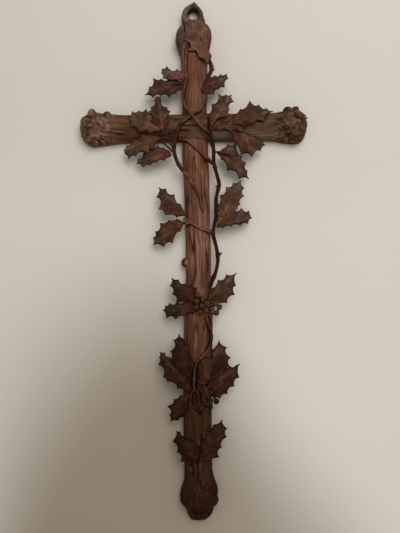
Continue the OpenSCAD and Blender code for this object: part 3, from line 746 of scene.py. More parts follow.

# %% [markdown]
# The bark runs up and down. It is calmer on knobs, under the head and over the crossing,
# and smoothed by wear at the foot. Its crests stand 0.3 mm proud of the plain round. The marks
# also hold what no noise could place: painted shadow and an olive tone in the hollow under the
# hood's left curl, painted shade in the fork's loop and under the low leaves, the dark bud, and
# bands that are darker or lighter, with painted shade at the foot.

# %% Bark and marks of the upright
UPRIGHT_PROUD = 0.3
depth, furrow, plate = bark_cut(walked, z[:, None] + 0 * across, 11)
calm = 1 - 0.55 * np.clip(swell / 3, 0, 1)
crossing = np.abs(z - BEAM_Z) < BEAM_R
smooth_foot = 0.6 * slope(z, -515, -530)
quiet = (np.where(crossing, 0.25, 1.0) * np.clip(1.1 - 0.75 * bell(z, -80, 45), 0, 1)
         * (1 - smooth_foot))[:, None]
upright = upright - facing(upright) * (depth * front * calm * quiet - UPRIGHT_PROUD * front)[..., None]
side_x, up_z = upright[..., 0], upright[..., 2]
# Painted shade: under the hood's left curl, in the fork's loop and under the low leaves.
head = front * slope(side_x, -8, -11) * slope(up_z, -52, -44) * slope(up_z, -8, -12)
loop = front * bell(side_x, -4.5, 3.5, 4) * bell(up_z, -444, 9, 4)
under_leaves = front * bell(side_x, -5.5, 7, 4) * bell(up_z, -419, 19, 4)
bud = front * bell(side_x, -16.5, 3, 4) * bell(up_z, -288, 7, 4)
# Bands darker or lighter up the log, and painted shade at the foot.
bands = (0.28 * slope(up_z, -535, -555) + 0.14 * bell(up_z, -220, 12) - 0.18 * bell(up_z, -262, 24)
         - 0.12 * bell(up_z, -475, 22))
patchy = smooth_noise(side_x / 7 + 20, up_z / 24 + 30, 53)
uneven = smooth_noise(side_x / 6 + 20, up_z / 16 + 30, 57)
bark_marks = {
    "grime_and_shade": np.clip(1.3 * furrow, 0, 1) * front * calm * quiet, "wear_and_highlight": plate * front * quiet,
    "shade": 0.3 * head + 0.62 * bud + 0.65 * loop + 0.45 * under_leaves * (1 - loop) + bands
    + 0.1 * uneven,
    "tone": 0.95 * np.maximum(head, bud) + 0.3 * loop + 0.55 * patchy * (1 - head) * (1 - bud)}
upright = draw(upright, bark_marks, LINES["upright"] + STEM_SHADOW_CUTS, front)
upright[..., 2] = np.maximum(upright[..., 2], foot_z)
print("bark is cut up to", round((depth * front * calm * quiet).max(), 2), "mm deep")

# %% [markdown]
# In the lap joint only 10 mm of the upright are left behind the crossbeam, and the crossbeam
# carries the rest of the log's round front over the crossing. Both come from the same rings,
# so that the bark runs on across the joint.

# %% Halves of the lap joint
lap_front = upright[crossing].copy()
lap_front[..., 1] = np.minimum(lap_front[..., 1], -LAP_OUT)
upright[crossing, :, 1] = np.maximum(upright[crossing, :, 1], -LAP_OUT)
piece_upright = sew("carved_upright", [upright], {k: [m] for k, m in bark_marks.items()})
piece_lap = sew("carved_lap_front", [lap_front], {k: [m[crossing]] for k, m in bark_marks.items()})
dress(piece_upright, BARK, "upright")
dress(piece_lap, BEAM_BARK, "crossbeam")

# %% [markdown]
# The hanging eye is a ring of wood that runs up to a blunt point and leaves a real hole for
# the hook. A torus would be even all round. This is a ring-shaped skin: round the hole the
# outside follows the pointed outline, and the cut through the wood is a rounded square.

# %% Hanging eye
EYE_OUTLINE = np.array([
    [-13, -14], [-13.5, -7], [-13.5, 0], [-12.5, 4.5], [-9.5, 8.5], [-5.5, 11], [-2, 12.5],
    [1.5, 15], [4, 12], [6.5, 9], [9.5, 5.5], [11.5, 1], [12.5, -4], [14, -9], [14, -14]], float)
HOLE_R = 5.6
EYE_T = 12.0
EYE_REACH = 15.5


def squarish(value, power):
    """Cosine or sine raised to a power below 1, which turns a circle into a rounded square."""
    return np.sign(value) * np.abs(value) ** power


bearing = np.unwrap(np.arctan2(EYE_OUTLINE[::-1, 1], EYE_OUTLINE[::-1, 0]))
reach = np.hypot(EYE_OUTLINE[::-1, 0], EYE_OUTLINE[::-1, 1])
round_eye = np.linspace(0, 2 * np.pi, 128, endpoint=False)[:, None]
cut = np.linspace(0, 2 * np.pi, 28, endpoint=False)[None]
outer = np.interp(round_eye, bearing % (2 * np.pi), reach, period=2 * np.pi)
outer = np.minimum(outer, EYE_REACH) + 0.15 * smooth_noise(round_eye * 4, round_eye, 3)
flare = 0.3 + 2.2 * np.clip(np.sin(round_eye), 0, 1) ** 2
hole = HOLE_R + flare * np.clip(np.sin(cut), 0, 1) ** 1.5
eye_r = (outer + hole) / 2 + (outer - hole) / 2 * squarish(np.cos(cut), 0.62)
eye_y = -EYE_T / 2 * (1 + squarish(np.sin(cut), 0.8)) + 0 * eye_r
eye = np.stack([eye_r * np.cos(round_eye), eye_y, eye_r * np.sin(round_eye)], 2)
rough = smooth_noise(eye[..., 0] / 2.5 + 9, eye[..., 2] / 2.5 + eye[..., 1] / 3 + 9, 5)
eye_front = slope(np.sin(cut), -0.6, 0.2)
eye = eye - facing(eye) * (0.35 * (0.5 + 0.5 * rough) * eye_front)[..., None]
# Painted highlight on the front of the left limb.
worn_and_lit = np.clip(np.sin(cut), 0, 1) ** 3 * np.clip(0.6 - 0.5 * np.cos(round_eye), 0, 1)
# Painted shade: the hole and the wood round it are painted darker.
inside = slope(eye_r, HOLE_R + 1.5, HOLE_R - 0.5)
eye_marks = {"grime_and_shade": np.clip(0.5 * np.clip(-rough, 0, 1) + 0.5 * inside, 0, 1),
             "wear_and_highlight": 0.8 * worn_and_lit, "shade": 0.1 + 0.25 * inside}
piece_eye = sew("carved_eye", [eye], {k: [m] for k, m in eye_marks.items()}, ring_shaped=True)
dress(piece_eye, EYE_BARK, "upright")
print("the hole is", round(2 * np.hypot(eye[..., 0], eye[..., 2]).min(), 1), "mm wide at its narrowest")

# %% [markdown]
# The crossbeam lies in the upright's notch. Its bark runs sideways and its ends swell into
# burls full of knobs, pits and lumps, which a sculpt brush would make too. Here they are
# the same round knobs as on the upright, over a table of half widths along the beam.

# %% Outline of the crossbeam
beam_low, beam_high = corners("crossbeam")
LEFT_END, RIGHT_END = beam_low[0], beam_high[0]
BEAM = [
    (LEFT_END, 7.5), (LEFT_END + 1, 10.5), (LEFT_END + 3, 14), (LEFT_END + 8, 18),
    (LEFT_END + 14, 20), (LEFT_END + 20, 19.8), (LEFT_END + 30, 18.3), (LEFT_END + 44, 16.1),
    (LEFT_END + 52, 15.7), (RIGHT_END - 44, 15.6), (RIGHT_END - 36, 16.5), (RIGHT_END - 27, 18.5),
    (RIGHT_END - 19, 19.5), (RIGHT_END - 11, 19.5), (RIGHT_END - 6, 17.5), (RIGHT_END - 3, 14),
    (RIGHT_END - 1, 10), (RIGHT_END, 7),
]
BURL_KNOBS = [
    (-119.5, -113.4, 5.8, 10), (-125.3, -123.5, 7.5, 10), (-128.8, -137, 3.2, 9),
    (-119, -142.5, 8.2, 10), (-124.4, -131, 7.5, 13), (-101.5, -118, 6, 14), (-112, -122, 6, 20),
    (-107, -131, 7, 20), (-117, -133, 6.5, 19), (-96, -128, 5, 19), (107.3, -114, 5.8, 11),
    (116.6, -113.6, 4.9, 11), (124.8, -121.8, 4.7, 11), (124.6, -131.1, 4.7, 12),
    (121.6, -140.4, 4.6, 10), (116.7, -146.7, 5.2, 9), (110, -124, 8, 19), (117, -130, 6, 19),
    (104, -133, 6, 20), (113, -140, 5.5, 15), (97, -124, 4.5, 19),
]
NOTCH_HALF = 15
x = np.unique(np.concatenate([
    np.linspace(LEFT_END, RIGHT_END, 360), np.linspace(LEFT_END, LEFT_END + 3, 8),
    np.linspace(RIGHT_END - 3, RIGHT_END, 8),
    [-NOTCH_HALF - JOINT_GAP, -NOTCH_HALF + JOINT_GAP, NOTCH_HALF - JOINT_GAP, NOTCH_HALF + JOINT_GAP]]))
half = np.interp(x, *np.array(BEAM, float).T)
across, out, walked = log_rings(half, half)
beam = np.stack([x[:, None] + 0 * across, -out, BEAM_Z + across], 2)
front = slope(out, 0, BACK_FADE)
beam, swell = cover_knobs(beam, BURL_KNOBS, facing(beam) * front[..., None])
print(len(x), "rings from x", round(x[0], 1), "to", round(x[-1], 1), "mm,", len(BURL_KNOBS), "knobs")

# %% [markdown]
# Pits are the winding lines of a small noise, lumps its hills, and both fade in over the
# burls alone. Behind, where the upright passes, the beam is cut away 10 mm off the wall.
# Its left burl is paler and its right part greyer, and its lower edge on the right has a painted light,
# paler and greyer, as from light thrown back by the wall.

# %% Bark and marks of the crossbeam
BEAM_PROUD = 0.2
lumpy = slope(np.abs(x), 88, 102)[:, None]
depth, furrow, plate = bark_cut(walked, x[:, None] + 0 * across, 31)
pits = grooves(walked / 5.0 + 3, x[:, None] / 5.5 + 0 * walked, 37, 0.16) * lumpy
nodules = smooth_noise(walked / 3.1, x[:, None] / 3.3 + 0 * walked, 41) * lumpy
cut_in = depth * (1 - 0.75 * lumpy) + 0.9 * pits - 0.7 * nodules + 0.7 * lumpy
beam = beam - facing(beam) * (cut_in * front - BEAM_PROUD * front)[..., None]
beam[..., 0] = np.clip(beam[..., 0], LEFT_END, RIGHT_END)
over = (np.abs(x) < NOTCH_HALF)[:, None] & (beam[..., 1] > -LAP_OUT)
beam[..., 1] = np.where(over, -LAP_OUT, beam[..., 1])
right_half = (slope(x, 15, 25) * slope(x, 104, 94))[:, None]
# Painted light: the lower edge of the right part, as lit by light thrown back from the wall.
bounce_lit_edge = slope(beam[..., 2], BEAM_Z - 6, BEAM_Z - 10) * right_half
left_burl = slope(x, -86, -100)[:, None]
left_part = (slope(x, -88, -80) * slope(x, -20, -28))[:, None]
right_part = slope(x, 20, 40)[:, None]
beam_marks = {
    "grime_and_shade": np.clip(furrow * (1 - 0.7 * lumpy) + pits + 0.7 * np.clip(-nodules, 0, 1), 0, 1) * front,
    "wear_and_highlight": np.clip(plate * (1 - lumpy) + 0.9 * np.clip(nodules, 0, 1), 0, 1) * front,
    "shade": 0.1 * left_part - 0.75 * left_burl - 0.4 * bounce_lit_edge,
    "tone": np.maximum(0.8 * bounce_lit_edge, 0.35 * right_part) - 0.45 * bell(x, -76, 18)[:, None]}
beam = draw(beam, beam_marks, LINES["crossbeam"] + STEM_SHADOW_CUTS, front)
piece_beam = sew("carved_crossbeam", [beam], {k: [m] for k, m in beam_marks.items()})
dress(piece_beam, BEAM_BARK, "crossbeam")

# %% [markdown]
# ## Holly leaves
# Each leaf is a thin carved plate: the edge runs from spine to spine with a round scoop
# between them, the blade falls away on both sides of the midrib, and veins run out to the
# spines. A flat cut-out with a bumpy material would look like card, so each leaf is a skin
# over chevron-shaped sections, whose height off the wall is worked out at each point.
# A row gives the name, the heading in degrees, the length, the height at foot, middle and
# tip with the fall of its edges 12 mm out, and the spines on the left and right side as the
# distance from the foot and the distance out, all lengths in millimetres.

# %% The leaves of the cross
LEAVES = [
    ("crown_leaf", 280, 46, [23, 28, 22, 5],
     [[7, 8], [14, 11], [22, 9], [32, 6], [39, 7]],
     [[6, 17], [10, 19], [16, 20], [27, 18], [30, 14], [33, 8], [40, 7]]),
    ("leaf_top_left_upper", 173, 29, [20, 25, 20, 2],
     [[4, 7], [10, 8], [15, 9], [21, 9], [26, 7]], [[6, 4], [11, 5], [19, 4], [23, 8], [29, 6]]),
    ("leaf_top_left_lower", 194, 46, [18, 22, 18, 2],
     [[4, 6], [12, 9], [20, 11], [29, 7], [38, 6]],
     [[3, 6], [8, 9], [14, 10], [24, 12], [32, 16], [39, 7]]),
    ("leaf_beam_left_upright", 97, 44, [24, 27, 21, 2],
     [[15, 13], [27, 13], [32, 10], [39, 5], [44, 4]], [[13, 9], [24, 12], [29, 9], [38, 3], [43, 4]]),
    ("leaf_beam_left_long", 160, 42, [23, 26, 23, 3],
     [[6, 4], [13, 9], [26, 12], [38, 9]], [[17, 16], [27, 17], [34, 13], [41, 10]]),
    ("leaf_beam_left_outer", 194, 44, [22, 23, 14, 2],
     [[10, 10], [20, 12], [32, 11], [41, 12], [44, 5]], [[4, 6], [10, 9], [19, 12], [30, 8], [39, 4]]),
    ("leaf_beam_left_hanging", 192, 42, [18, 20, 12, 2],
     [[3, 3], [10, 6], [19, 6], [27, 7], [35, 7]],
     [[2, 6], [7, 10], [14, 14], [22, 14], [31, 10], [39, 5]]),
    ("leaf_middle_left_upper", 134, 47, [18, 22, 14, 2],
     [[8, 10], [19, 18], [29, 18], [41, 10]], [[15, 4], [28, 7], [40, 5]]),
    ("leaf_middle_left_lower", 214, 45, [18, 21, 12, 2],
     [[10, 6], [25, 12], [36, 9]], [[5, 9], [14, 13], [24, 16], [34, 11], [40, 7]]),
    ("leaf_berry_left_upper", 133, 37, [24, 26, 14, 3],
     [[13, 16], [23, 12], [32, 8]], [[3, 8], [9, 14], [16, 12], [22, 7], [30, 5]]),
    ("leaf_berry_left_lower", 180, 43, [22, 24, 13, 2],
     [[9, 4], [19, 6], [28, 10], [39, 9]], [[3, 7], [10, 11], [18, 11], [26, 10], [35, 9], [40, 6]]),
    ("leaf_low_left_upper", 103, 52, [25, 26, 16, 3],
     [[17, 15], [27, 17], [36, 14], [47, 8]], [[10, 6], [21, 10], [28, 8], [37, 9], [45, 5]]),
    ("leaf_low_left_outer", 131, 57, [23, 25, 12, 2],
     [[6, 7], [14, 11], [28, 15], [34, 15], [48, 11], [53, 5]],
     [[13, 7], [24, 12], [35, 11], [45, 6], [53, 4]]),
    ("leaf_low_left_hanging", 236, 43, [24, 25, 12, 2],
     [[17, 8], [28, 10], [36, 7]], [[5, 5], [9, 9], [17, 12], [28, 14], [36, 6]]),
    ("leaf_foot_left", 124, 42, [24, 25, 13, 3],
     [[13, 14], [24, 11], [35, 10]], [[5, 11], [14, 15], [23, 16], [28, 9], [33, 5], [39, 4]]),
    ("leaf_top_right", 24, 34, [20, 24, 16, 2],
     [[9, 8], [14, 9], [20, 8], [27, 7], [35, 7]], [[3, 8], [6, 10], [10, 12], [18, 9], [25, 9]]),
    ("leaf_beam_right_upright", 58, 48, [24, 26, 17, 2],
     [[13, 11], [25, 13], [40, 13], [44, 6]], [[11, 2], [24, 12], [30, 8], [42, 7]]),
    ("leaf_beam_right_flat", 7, 40, [23, 24, 22, 2],
     [[13, 9], [25, 10], [35, 7]], [[10, 4], [22, 7], [35, 10]]),
    ("leaf_beam_right_long", 19, 50, [24, 27, 20, 3],
     [[6, 12], [15, 14], [29, 20], [37, 12], [44, 6]], [[14, 8], [24, 8], [36, 9]]),
    ("leaf_beam_right_small", 350, 29, [18, 20, 13, 2],
     [[6, 5], [11, 11], [20, 13]], [[8, 3], [18, 4]]),
    ("leaf_beam_right_outer", 340, 40, [24, 24, 14, 2],
     [[15, 4], [26, 5], [35, 4]], [[6, 12], [18, 22], [30, 19], [37, 9]]),
    ("leaf_beam_right_hanging", 321, 46, [16, 19, 10, 2],
     [[12, 10], [23, 14], [32, 12], [39, 6]], [[8, 4], [21, 10], [37, 8]]),
    ("leaf_middle_right_upper", 62, 60, [16, 20, 11, 2],
     [[8, 5], [14, 8], [22, 11], [33, 14], [45, 12], [53, 7]],
     [[8, 5], [17, 10], [28, 12], [34, 12], [45, 12], [54, 8]]),
    ("leaf_middle_right_lower", 15, 42, [18, 21, 12, 2],
     [[11, 14], [23, 14], [33, 14], [41, 9]], [[6, 3], [16, 4], [26, 6], [35, 6]]),
    ("leaf_berry_right", 41, 47, [23, 25, 12, 3],
     [[12, 9], [26, 9], [37, 7]], [[10, 13], [16, 18], [29, 17], [37, 10]]),
    ("leaf_low_right_upper", 68, 50, [23, 25, 14, 3],
     [[12, 7], [24, 5], [37, 5]], [[19, 20], [28, 21], [37, 19], [46, 11]]),
    ("leaf_low_right_outer", 32, 51, [23, 26, 12, 2],
     [[20, 13], [32, 11], [40, 6], [46, 2]], [[6, 14], [11, 19], [21, 19], [32, 16], [42, 12]]),
    ("leaf_low_right_small", 288, 32, [27, 28, 23, 2],
     [[13, 8], [22, 4]], [[8, 9], [17, 10], [25, 12], [28, 6]]),
    ("leaf_low_right_front", 84, 34, [27, 28, 24, 3],
     [[4, 8], [13, 9], [22, 10], [29, 7]], [[10, 8], [20, 10], [31, 7]]),
    ("leaf_foot_right", 58, 56, [24, 25, 13, 3],
     [[14, 6], [26, 11], [38, 12], [47, 7]], [[20, 18], [31, 14], [43, 14], [51, 10]]),
]
print(len(LEAVES), "leaves, the longest", max(row[2] for row in LEAVES), "mm long")

# %% [markdown]
# No two leaves took the stain alike, and no two get the same light. A table says how much
# darker a leaf or stem is than its wood, or below 0 lighter, as stain and as painted shade and
# light, and how far its brown turns to olive, or below 0 to red. Every leaf is redder at its
# foot and more olive at its tip, by TURN in all.

# %% Shade and tone of each leaf and stem
TURN = 1.2
PLAIN_LEAF, PLAIN_STEM = (0.0, 0.1), (0.0, 0.0)
# Each shade here is partly the leaf's stain and partly painted shade and light.
LOOKS = {
    "crown_leaf": (-0.42, 0.0), "leaf_top_left_upper": (-0.33, 0.1), "leaf_top_left_lower": (0.22, 0.3),
    "leaf_beam_left_upright": (0.2, 0.3), "leaf_beam_left_long": (0.0, 0.2),
    "leaf_beam_left_outer": (-0.02, 0.15), "leaf_beam_left_hanging": (-0.05, -0.2),
    "leaf_middle_left_upper": (0.14, 0.35), "leaf_middle_left_lower": (0.15, 0.1),
    "leaf_berry_left_upper": (0.44, 0.35), "leaf_berry_left_lower": (0.3, 0.5),
    "leaf_top_right": (0.14, 0.3), "leaf_beam_right_upright": (0.02, 0.2),
    "leaf_beam_right_long": (0.13, 0.3), "leaf_beam_right_outer": (0.08, 0.0),
    "leaf_beam_right_hanging": (0.14, 0.35), "leaf_middle_right_upper": (-0.18, 0.1),
    "leaf_middle_right_lower": (-0.02, 0.35), "leaf_berry_right": (0.12, 0.6),
    "leaf_low_right_front": (-0.15, 0.0), "leaf_low_right_upper": (0.14, 0.1),
    "leaf_low_right_outer": (-0.17, 0.1), "leaf_low_left_upper": (0.44, 0.1),
    "leaf_low_left_outer": (0.06, 0.25), "leaf_low_left_hanging": (-0.04, -0.15),
    "leaf_foot_left": (-0.12, -0.2), "leaf_foot_right": (-0.4, 0.25),
    "stem_tendril": (-0.3, 0.0), "stem_lower": (-0.25, 0.1), "stem_right": (0.2, -0.7),
}
print(len(LOOKS), "leaves and stems differ from the plain ones")


# %% Edge and face of a leaf
SCOOP, LEAN = 0.55, 0.3
FOOT_HALF, TIP_HALF = 1.3, 0.5
LEAF_T = 2.2


def leaf_side(spines, length):
    """Edge of one side of a leaf: [station on the midrib, distance out]. Between two spines
    it sinks below the straight line by depth x (1 - |2t - 1|^2.2). A station lies LEAN x
    the distance out nearer to the foot, because holly's veins slant to the tip."""
    tips = np.array([[0, FOOT_HALF], *spines, [length, TIP_HALF]], float)
    tips[:, 0] -= LEAN * tips[:, 1]
    a, b = tips[:-1, None], tips[1:, None]
    t = np.linspace(0, 1, 11)[None, :-1, None]
    gap = b - a
    depth = np.minimum(SCOOP * np.linalg.norm(gap, axis=2, keepdims=True) / 2,
                       np.abs(gap[..., 1:]) / 4 + 0.6 * np.minimum(a[..., 1:], b[..., 1:]))
    line = a + t * gap
    line[..., 1:] -= depth * (1 - np.abs(2 * t - 1) ** 2.2)
    return np.vstack([line.reshape(-1, 2), tips[-1:]])


def blade(station, out, length, heights):
    """Where a leaf's face lies, before any carving: along = station + LEAN x |out|, height =
    the curve through foot, middle and tip, less fall x |out| / 12."""
    foot, middle, tip, fall = heights
    along = station + LEAN * np.abs(out)
    t = np.clip(along / length, 0, 1)
    bend = 2 * middle - (foot + tip) / 2
    height = (1 - t) ** 2 * foot + 2 * t * (1 - t) * bend + t * t * tip - fall * np.abs(out) / 12
    return along, height


def on_wall(along, out, height, heading):
    """Turns leaf distances into x, y, z: along the heading, out to its left, height off the wall."""
    a = math.radians(heading)
    return np.stack([along * math.cos(a) - out * math.sin(a), -height,
                     along * math.sin(a) + out * math.cos(a)], 2)


print("an edge with two spines has", len(leaf_side([[10, 8], [20, 9]], 30)), "points")

# %% [markdown]
# A leaf's skin runs over its face from the left edge to the right, round the rim, back
# underneath and up round the other rim. Over the face lie the midrib, a vein to each spine,
# spines bent up in turn, scoops rolled down, puckers and tool marks. The rim and the underside
# are painted dark as shade, the hollows are darker, and the midrib, the veins and the crests
# are paler, as rubbed wood with a painted highlight.


# %% Carving a leaf
def round_trip(face, rims, back, closed=False):
    """Columns of the face, the right rim, the back from right to left and the left rim, and
    the first column again if closed."""
    columns = [face, rims[:, 1:], back[:, ::-1], rims[:, :1]] + ([face[:, :1]] if closed else [])
    return np.concatenate(columns, 1)


def carve_leaf(row, seed):
    """Skin, UV map and marks of one leaf: height off the wall = the blade's + 0.75 midrib
    + 0.4 veins + lift of the spines - 0.7 |v|^3 + 0.75 puckers + 0.12 tool marks, with v
    from 1 at the left edge to -1 at the right one."""
    name, heading, length, heights, left, right = row
    sides = leaf_side(left, length), leaf_side(right, length)
    s = np.unique(np.concatenate([sides[0][:, 0], sides[1][:, 0]]))
    s = s[np.append(True, np.diff(s) > 0.08)][:, None]
    reach_left, reach_right = (np.interp(s, side[:, 0], side[:, 1]) for side in sides)
    v = np.linspace(1, -1, 25)[None]
    reach = np.where(v > 0, reach_left, reach_right)
    out = v * reach
    size = np.abs(out)
    along, height = blade(s, out, length, heights)
    veins, lift = 0 * out, 0 * out
    for spines, side in ((left, v > 0), (right, v < 0)):
        for k, (at, far) in enumerate(spines):
            beside = along - at + 0.75 * (far - size)
            bend = 1.6 if k % 2 else 0.4
            veins = np.maximum(veins, bell(beside, 0, 0.8) * side * np.clip(1.3 - size / far, 0, 1))
            lift = lift + side * bend * bell(along, at, 3) * np.clip(size / far, 0, 1.2) ** 3
    rib = bell(out, 0, 0.95) * np.clip(1.15 - along / length, 0, 1) ** 0.5
    pucker = smooth_noise(along / 6.5 + 20, out / 5.5 + 20, seed)
    tool = smooth_noise(along / 2.1 + 20, out / 1.9 + 20, seed + 1)
    carved = (0.75 * rib + 0.4 * veins + lift - 0.7 * np.abs(v) ** 3 + 0.75 * pucker
              * np.clip(size / 4, 0, 1) + 0.12 * tool)
    thick = 0.9 + 1.4 * (1 - v * v)

    top = on_wall(along, out, height + carved, heading)
    under = on_wall(along, out, height + carved - thick, heading)
    rim = np.array([[1.0, -1.0]]) * (np.hstack([reach_left, reach_right]) + 0.25)
    rim_along = s + LEAN * np.abs(rim)
    edge = on_wall(rim_along, rim, (height + carved - thick / 2)[:, [0, -1]], heading)
    plain = np.concatenate([on_wall(along, out, height, heading),
                            on_wall(along, out, height - LEAF_T, heading)], 1)
    skin = settle(round_trip(top, edge, under), plain, name)

    rise, drawn_ridge, drawn_groove = scratch(skin[:, :25], LINES.get(name, []))
    skin[:, :25, 1] -= rise
    to_edge = np.minimum(reach - size, 1.6 * (length - along))
    # Painted shade: the rim of the leaf is painted dark, as the shadow at its edge.
    painted_rim_shade = np.exp(-np.clip(to_edge, 0, 9) / 0.8)
    dark = 0.8 * painted_rim_shade + 0.35 * np.clip(-pucker, 0, 1) + 0.3 * np.clip(-tool, 0, 1)
    dark = np.maximum(np.clip(dark, 0, 1) * (1 - drawn_ridge), drawn_groove)
    # Pale midrib, veins and crests: rubbed wood and a painted highlight.
    light = np.clip(0.7 * rib + 0.55 * veins + 0.5 * np.clip(pucker, 0, 1), 0, 1) * (1 - painted_rim_shade)
    light = np.maximum(light * (1 - drawn_groove), drawn_ridge)
    shade, tone = LOOKS.get(name, PLAIN_LEAF)
    t = np.clip(along / length, 0, 1)
    tone = tone + TURN * (3 * t * t - 2 * t ** 3 - 0.5)
    no_rim = 0 * rim
    # Painted shade: the band round the rim and the underside are painted dark too.
    marks = {
        "grime_and_shade": round_trip(dark, no_rim + 0.8, 0.15 + 0.3 * dark),
        "wear_and_highlight": round_trip(light, no_rim, 0 * light),
        "shade": np.full(skin.shape[:2], shade),
        "tone": round_trip(tone, tone[:, [0, -1]], tone)}
    way = round_trip(along, rim_along, along, closed=True) + seed * 7.0
    return skin, np.stack([way, round_trip(out, rim, out, closed=True)], 2), marks


skin, uv, marks = carve_leaf(LEAVES[1], 100)
print("the skin of", LEAVES[1][0], "has", skin.shape[0], "by", skin.shape[1], "points")

# %% [markdown]
# The crown leaf is different: it hugs the log's round head like a hood. Its edge curls over
# on the left and rolls into a rim below. So its outline is a row of points, and its skin
# runs in rings from the middle to that outline, round the edge and back underneath. The
# curl throws a shadow on the left of the hood, which the shade mark keeps.

# %% The crown leaf
CROWN_MIDDLE = np.array([5.0, -38.5])
CROWN_OUTLINE = np.array([
    (-8.5, -15.5), (-10.5, -20), (-11, -28), (-11, -34), (-10.3, -38), (-8.3, -42.5), (-7.5, -46.3),
    (-4.5, -48), (2.5, -48.5), (4, -50.5), (5.5, -55.5), (8, -57), (12, -57), (13.5, -59.5), (16, -63),
    (17, -59), (20, -52), (17, -47.5), (16.8, -40.5), (18.2, -36), (19.3, -29.5), (18, -24.5),
    (16, -19), (13, -14.5), (10, -12.2), (5, -10.8), (-1, -11), (-5, -12.5)])


def crown_leaf(seed):
    """Skin, UV map and marks of the hood. Height off the wall = 24.5 + 3.5 sin(pi down^0.8)
    - 2.5 down - (x - 2 - 6 down)^2 / 50, with down from 0 at its top to 1 at its tip, but at
    least 1.4 mm above the round head, which it follows at the top."""
    rel = CROWN_OUTLINE - CROWN_MIDDLE
    turn = np.linspace(-np.pi, np.pi, 240, endpoint=False)[None]
    far = np.interp(turn, np.arctan2(rel[:, 1], rel[:, 0]), np.hypot(*rel.T), period=2 * np.pi)
    far = far + 0.25 * smooth_noise(6 * np.cos(turn) + 9, 6 * np.sin(turn) + 9, seed)
    share = (np.linspace(0.02, 1, 60) ** 0.9)[:, None]
    x = CROWN_MIDDLE[0] + share * far * np.cos(turn)
    z = CROWN_MIDDLE[1] + share * far * np.sin(turn)
    to_edge = (1 - share) * far
    down = slope(z, -14.5, -60.5)
    height = 24.5 + 3.5 * np.sin(np.pi * down ** 0.8) - 2.5 * down - (x - 2 - 6 * down) ** 2 / 50
    head_r = np.maximum(*(np.interp(z, *np.array(UPRIGHT[::-1]).T[[0, k]]) for k in (1, 2)))
    on_head = BACK_DEPTH + 1.4 + np.sqrt(np.maximum(head_r ** 2 - x ** 2, 9))
    top = slope(z, -20, -14)
    height = (1 - top) * np.maximum(height, on_head) + top * on_head
    pucker = smooth_noise(x / 6.0 + 20, z / 5.0 + 20, seed + 1)
    tool = smooth_noise(x / 2.1 + 20, z / 1.9 + 20, seed + 2)
    face = np.stack([x, -height - 0.5 * pucker - 0.12 * tool, z], 2)
    rise, wear_and_highlight, grime_and_shade = scratch(face, LINES["crown_leaf"])
    face[..., 1] += 0.9 * np.exp(-to_edge / 1.2) - rise
    rim = face[-1:] + np.stack([0.3 * np.cos(turn), 1.0 + 0 * turn, 0.3 * np.sin(turn)], 2)
    skin = np.concatenate([face, rim, face[::-1] + np.array([0.0, 2.0, 0.0])])

    # Painted shade: the hood's rim is painted dark as the shadow at its edge, and its crests paler, as
    # rubbed wood with a painted highlight.
    painted_rim_shade = np.exp(-np.clip(to_edge, 0, 9) / 0.8)
    light = np.maximum(np.clip(0.5 * pucker, 0, 1) * (1 - grime_and_shade), wear_and_highlight) * (1 - painted_rim_shade)
    dark = np.clip(0.8 * painted_rim_shade + 0.3 * np.clip(-pucker, 0, 1), 0, 1)
    dark = np.maximum(dark * (1 - wear_and_highlight), grime_and_shade)
    under_curl = slope(x, -6.5, -9.5) * slope(z, -40, -34)
    shade = LOOKS["crown_leaf"][0] + 0.35 * under_curl
    tone = LOOKS["crown_leaf"][1] + under_curl
    # Painted shade: the band round the rim and the underside are painted dark too.
    marks = {"grime_and_shade": np.concatenate([dark, 0 * turn + 0.8, 0.5 + 0.3 * dark[::-1]]),
             "wear_and_highlight": np.concatenate([light, 0 * turn, 0 * light]),
             "shade": np.concatenate([shade, shade[-1:], shade[::-1]]),
             "tone": np.concatenate([tone, tone[-1:], tone[::-1]])}
    wrap = np.concatenate([skin, skin[:, :1]], 1)
    return skin, np.stack([-wrap[..., 2] + seed * 7.0, wrap[..., 0]], 2), marks


print("the hood's outline has", len(CROWN_OUTLINE), "points")


# %% Making the leaves
for number, row in enumerate(LEAVES):
    skin, uv, marks = crown_leaf(97) if row[0] == "crown_leaf" else carve_leaf(row, 100 + 3 * number)
    leaf = sew("carved_" + row[0], [skin], {key: [value] for key, value in marks.items()}, [uv])
    dress(leaf, LEAF, row[0])

# %% [markdown]
# ## Stems, stalks and thorns
# The holly's stems are round sticks about 4.5 mm thick that wind over the logs. A curve
# object with a bevel would be quick, but a real twig swells at its joints and has a ribbed
# rind, so each stem is a tube of rings along a smooth route, with its radius worked out.


# %% A smooth route
def curve(route, steps):
    """Smooth curve through the points of a route, x, z and height off the wall, given back
    as x, y, z: between b and c it is half of 2b + (c - a) t + (2a - 5b + 4c - d) t^2
    + (3b - a - 3c + d) t^3, with a before b and d after c."""
    p = np.array(route, float)
    p = np.stack([p[:, 0], -p[:, 2], p[:, 1]], 1)
    padded = np.vstack([p[:1], p, p[-1:]])
    a, b, c, d = (padded[k:len(padded) - 3 + k, None] for k in range(4))
    t = (np.arange(steps) / steps)[None, :, None]
    line = (2 * b + (c - a) * t + (2 * a - 5 * b + 4 * c - d) * t ** 2
            + (3 * b - a - 3 * c + d) * t ** 3) / 2
    return np.vstack([line.reshape(-1, 3), p[-1:]])


def lengths(path):
    """Distance walked to each point of a path: the sum of its steps so far."""
    return np.append(0, np.cumsum(np.linalg.norm(np.diff(path, axis=0), axis=1)))


print("the right stem is", round(lengths(curve(STEMS["stem_right"], 8))[-1]), "mm long")

# %% [markdown]
# A stem is slimmer where it lies on a log, because it was carved out of it, and full where
# it stands free. There it is also painted darker and redder, as it stands in the logs' shade.
# Its front is painted light as a highlight, and its sides and back are painted dark as shade.


# %% One twig
FREE_FROM, FREE_AT = 11, 15
SLIM = 0.76
JOINT, STALK_JOINT = 26.0, 14.0


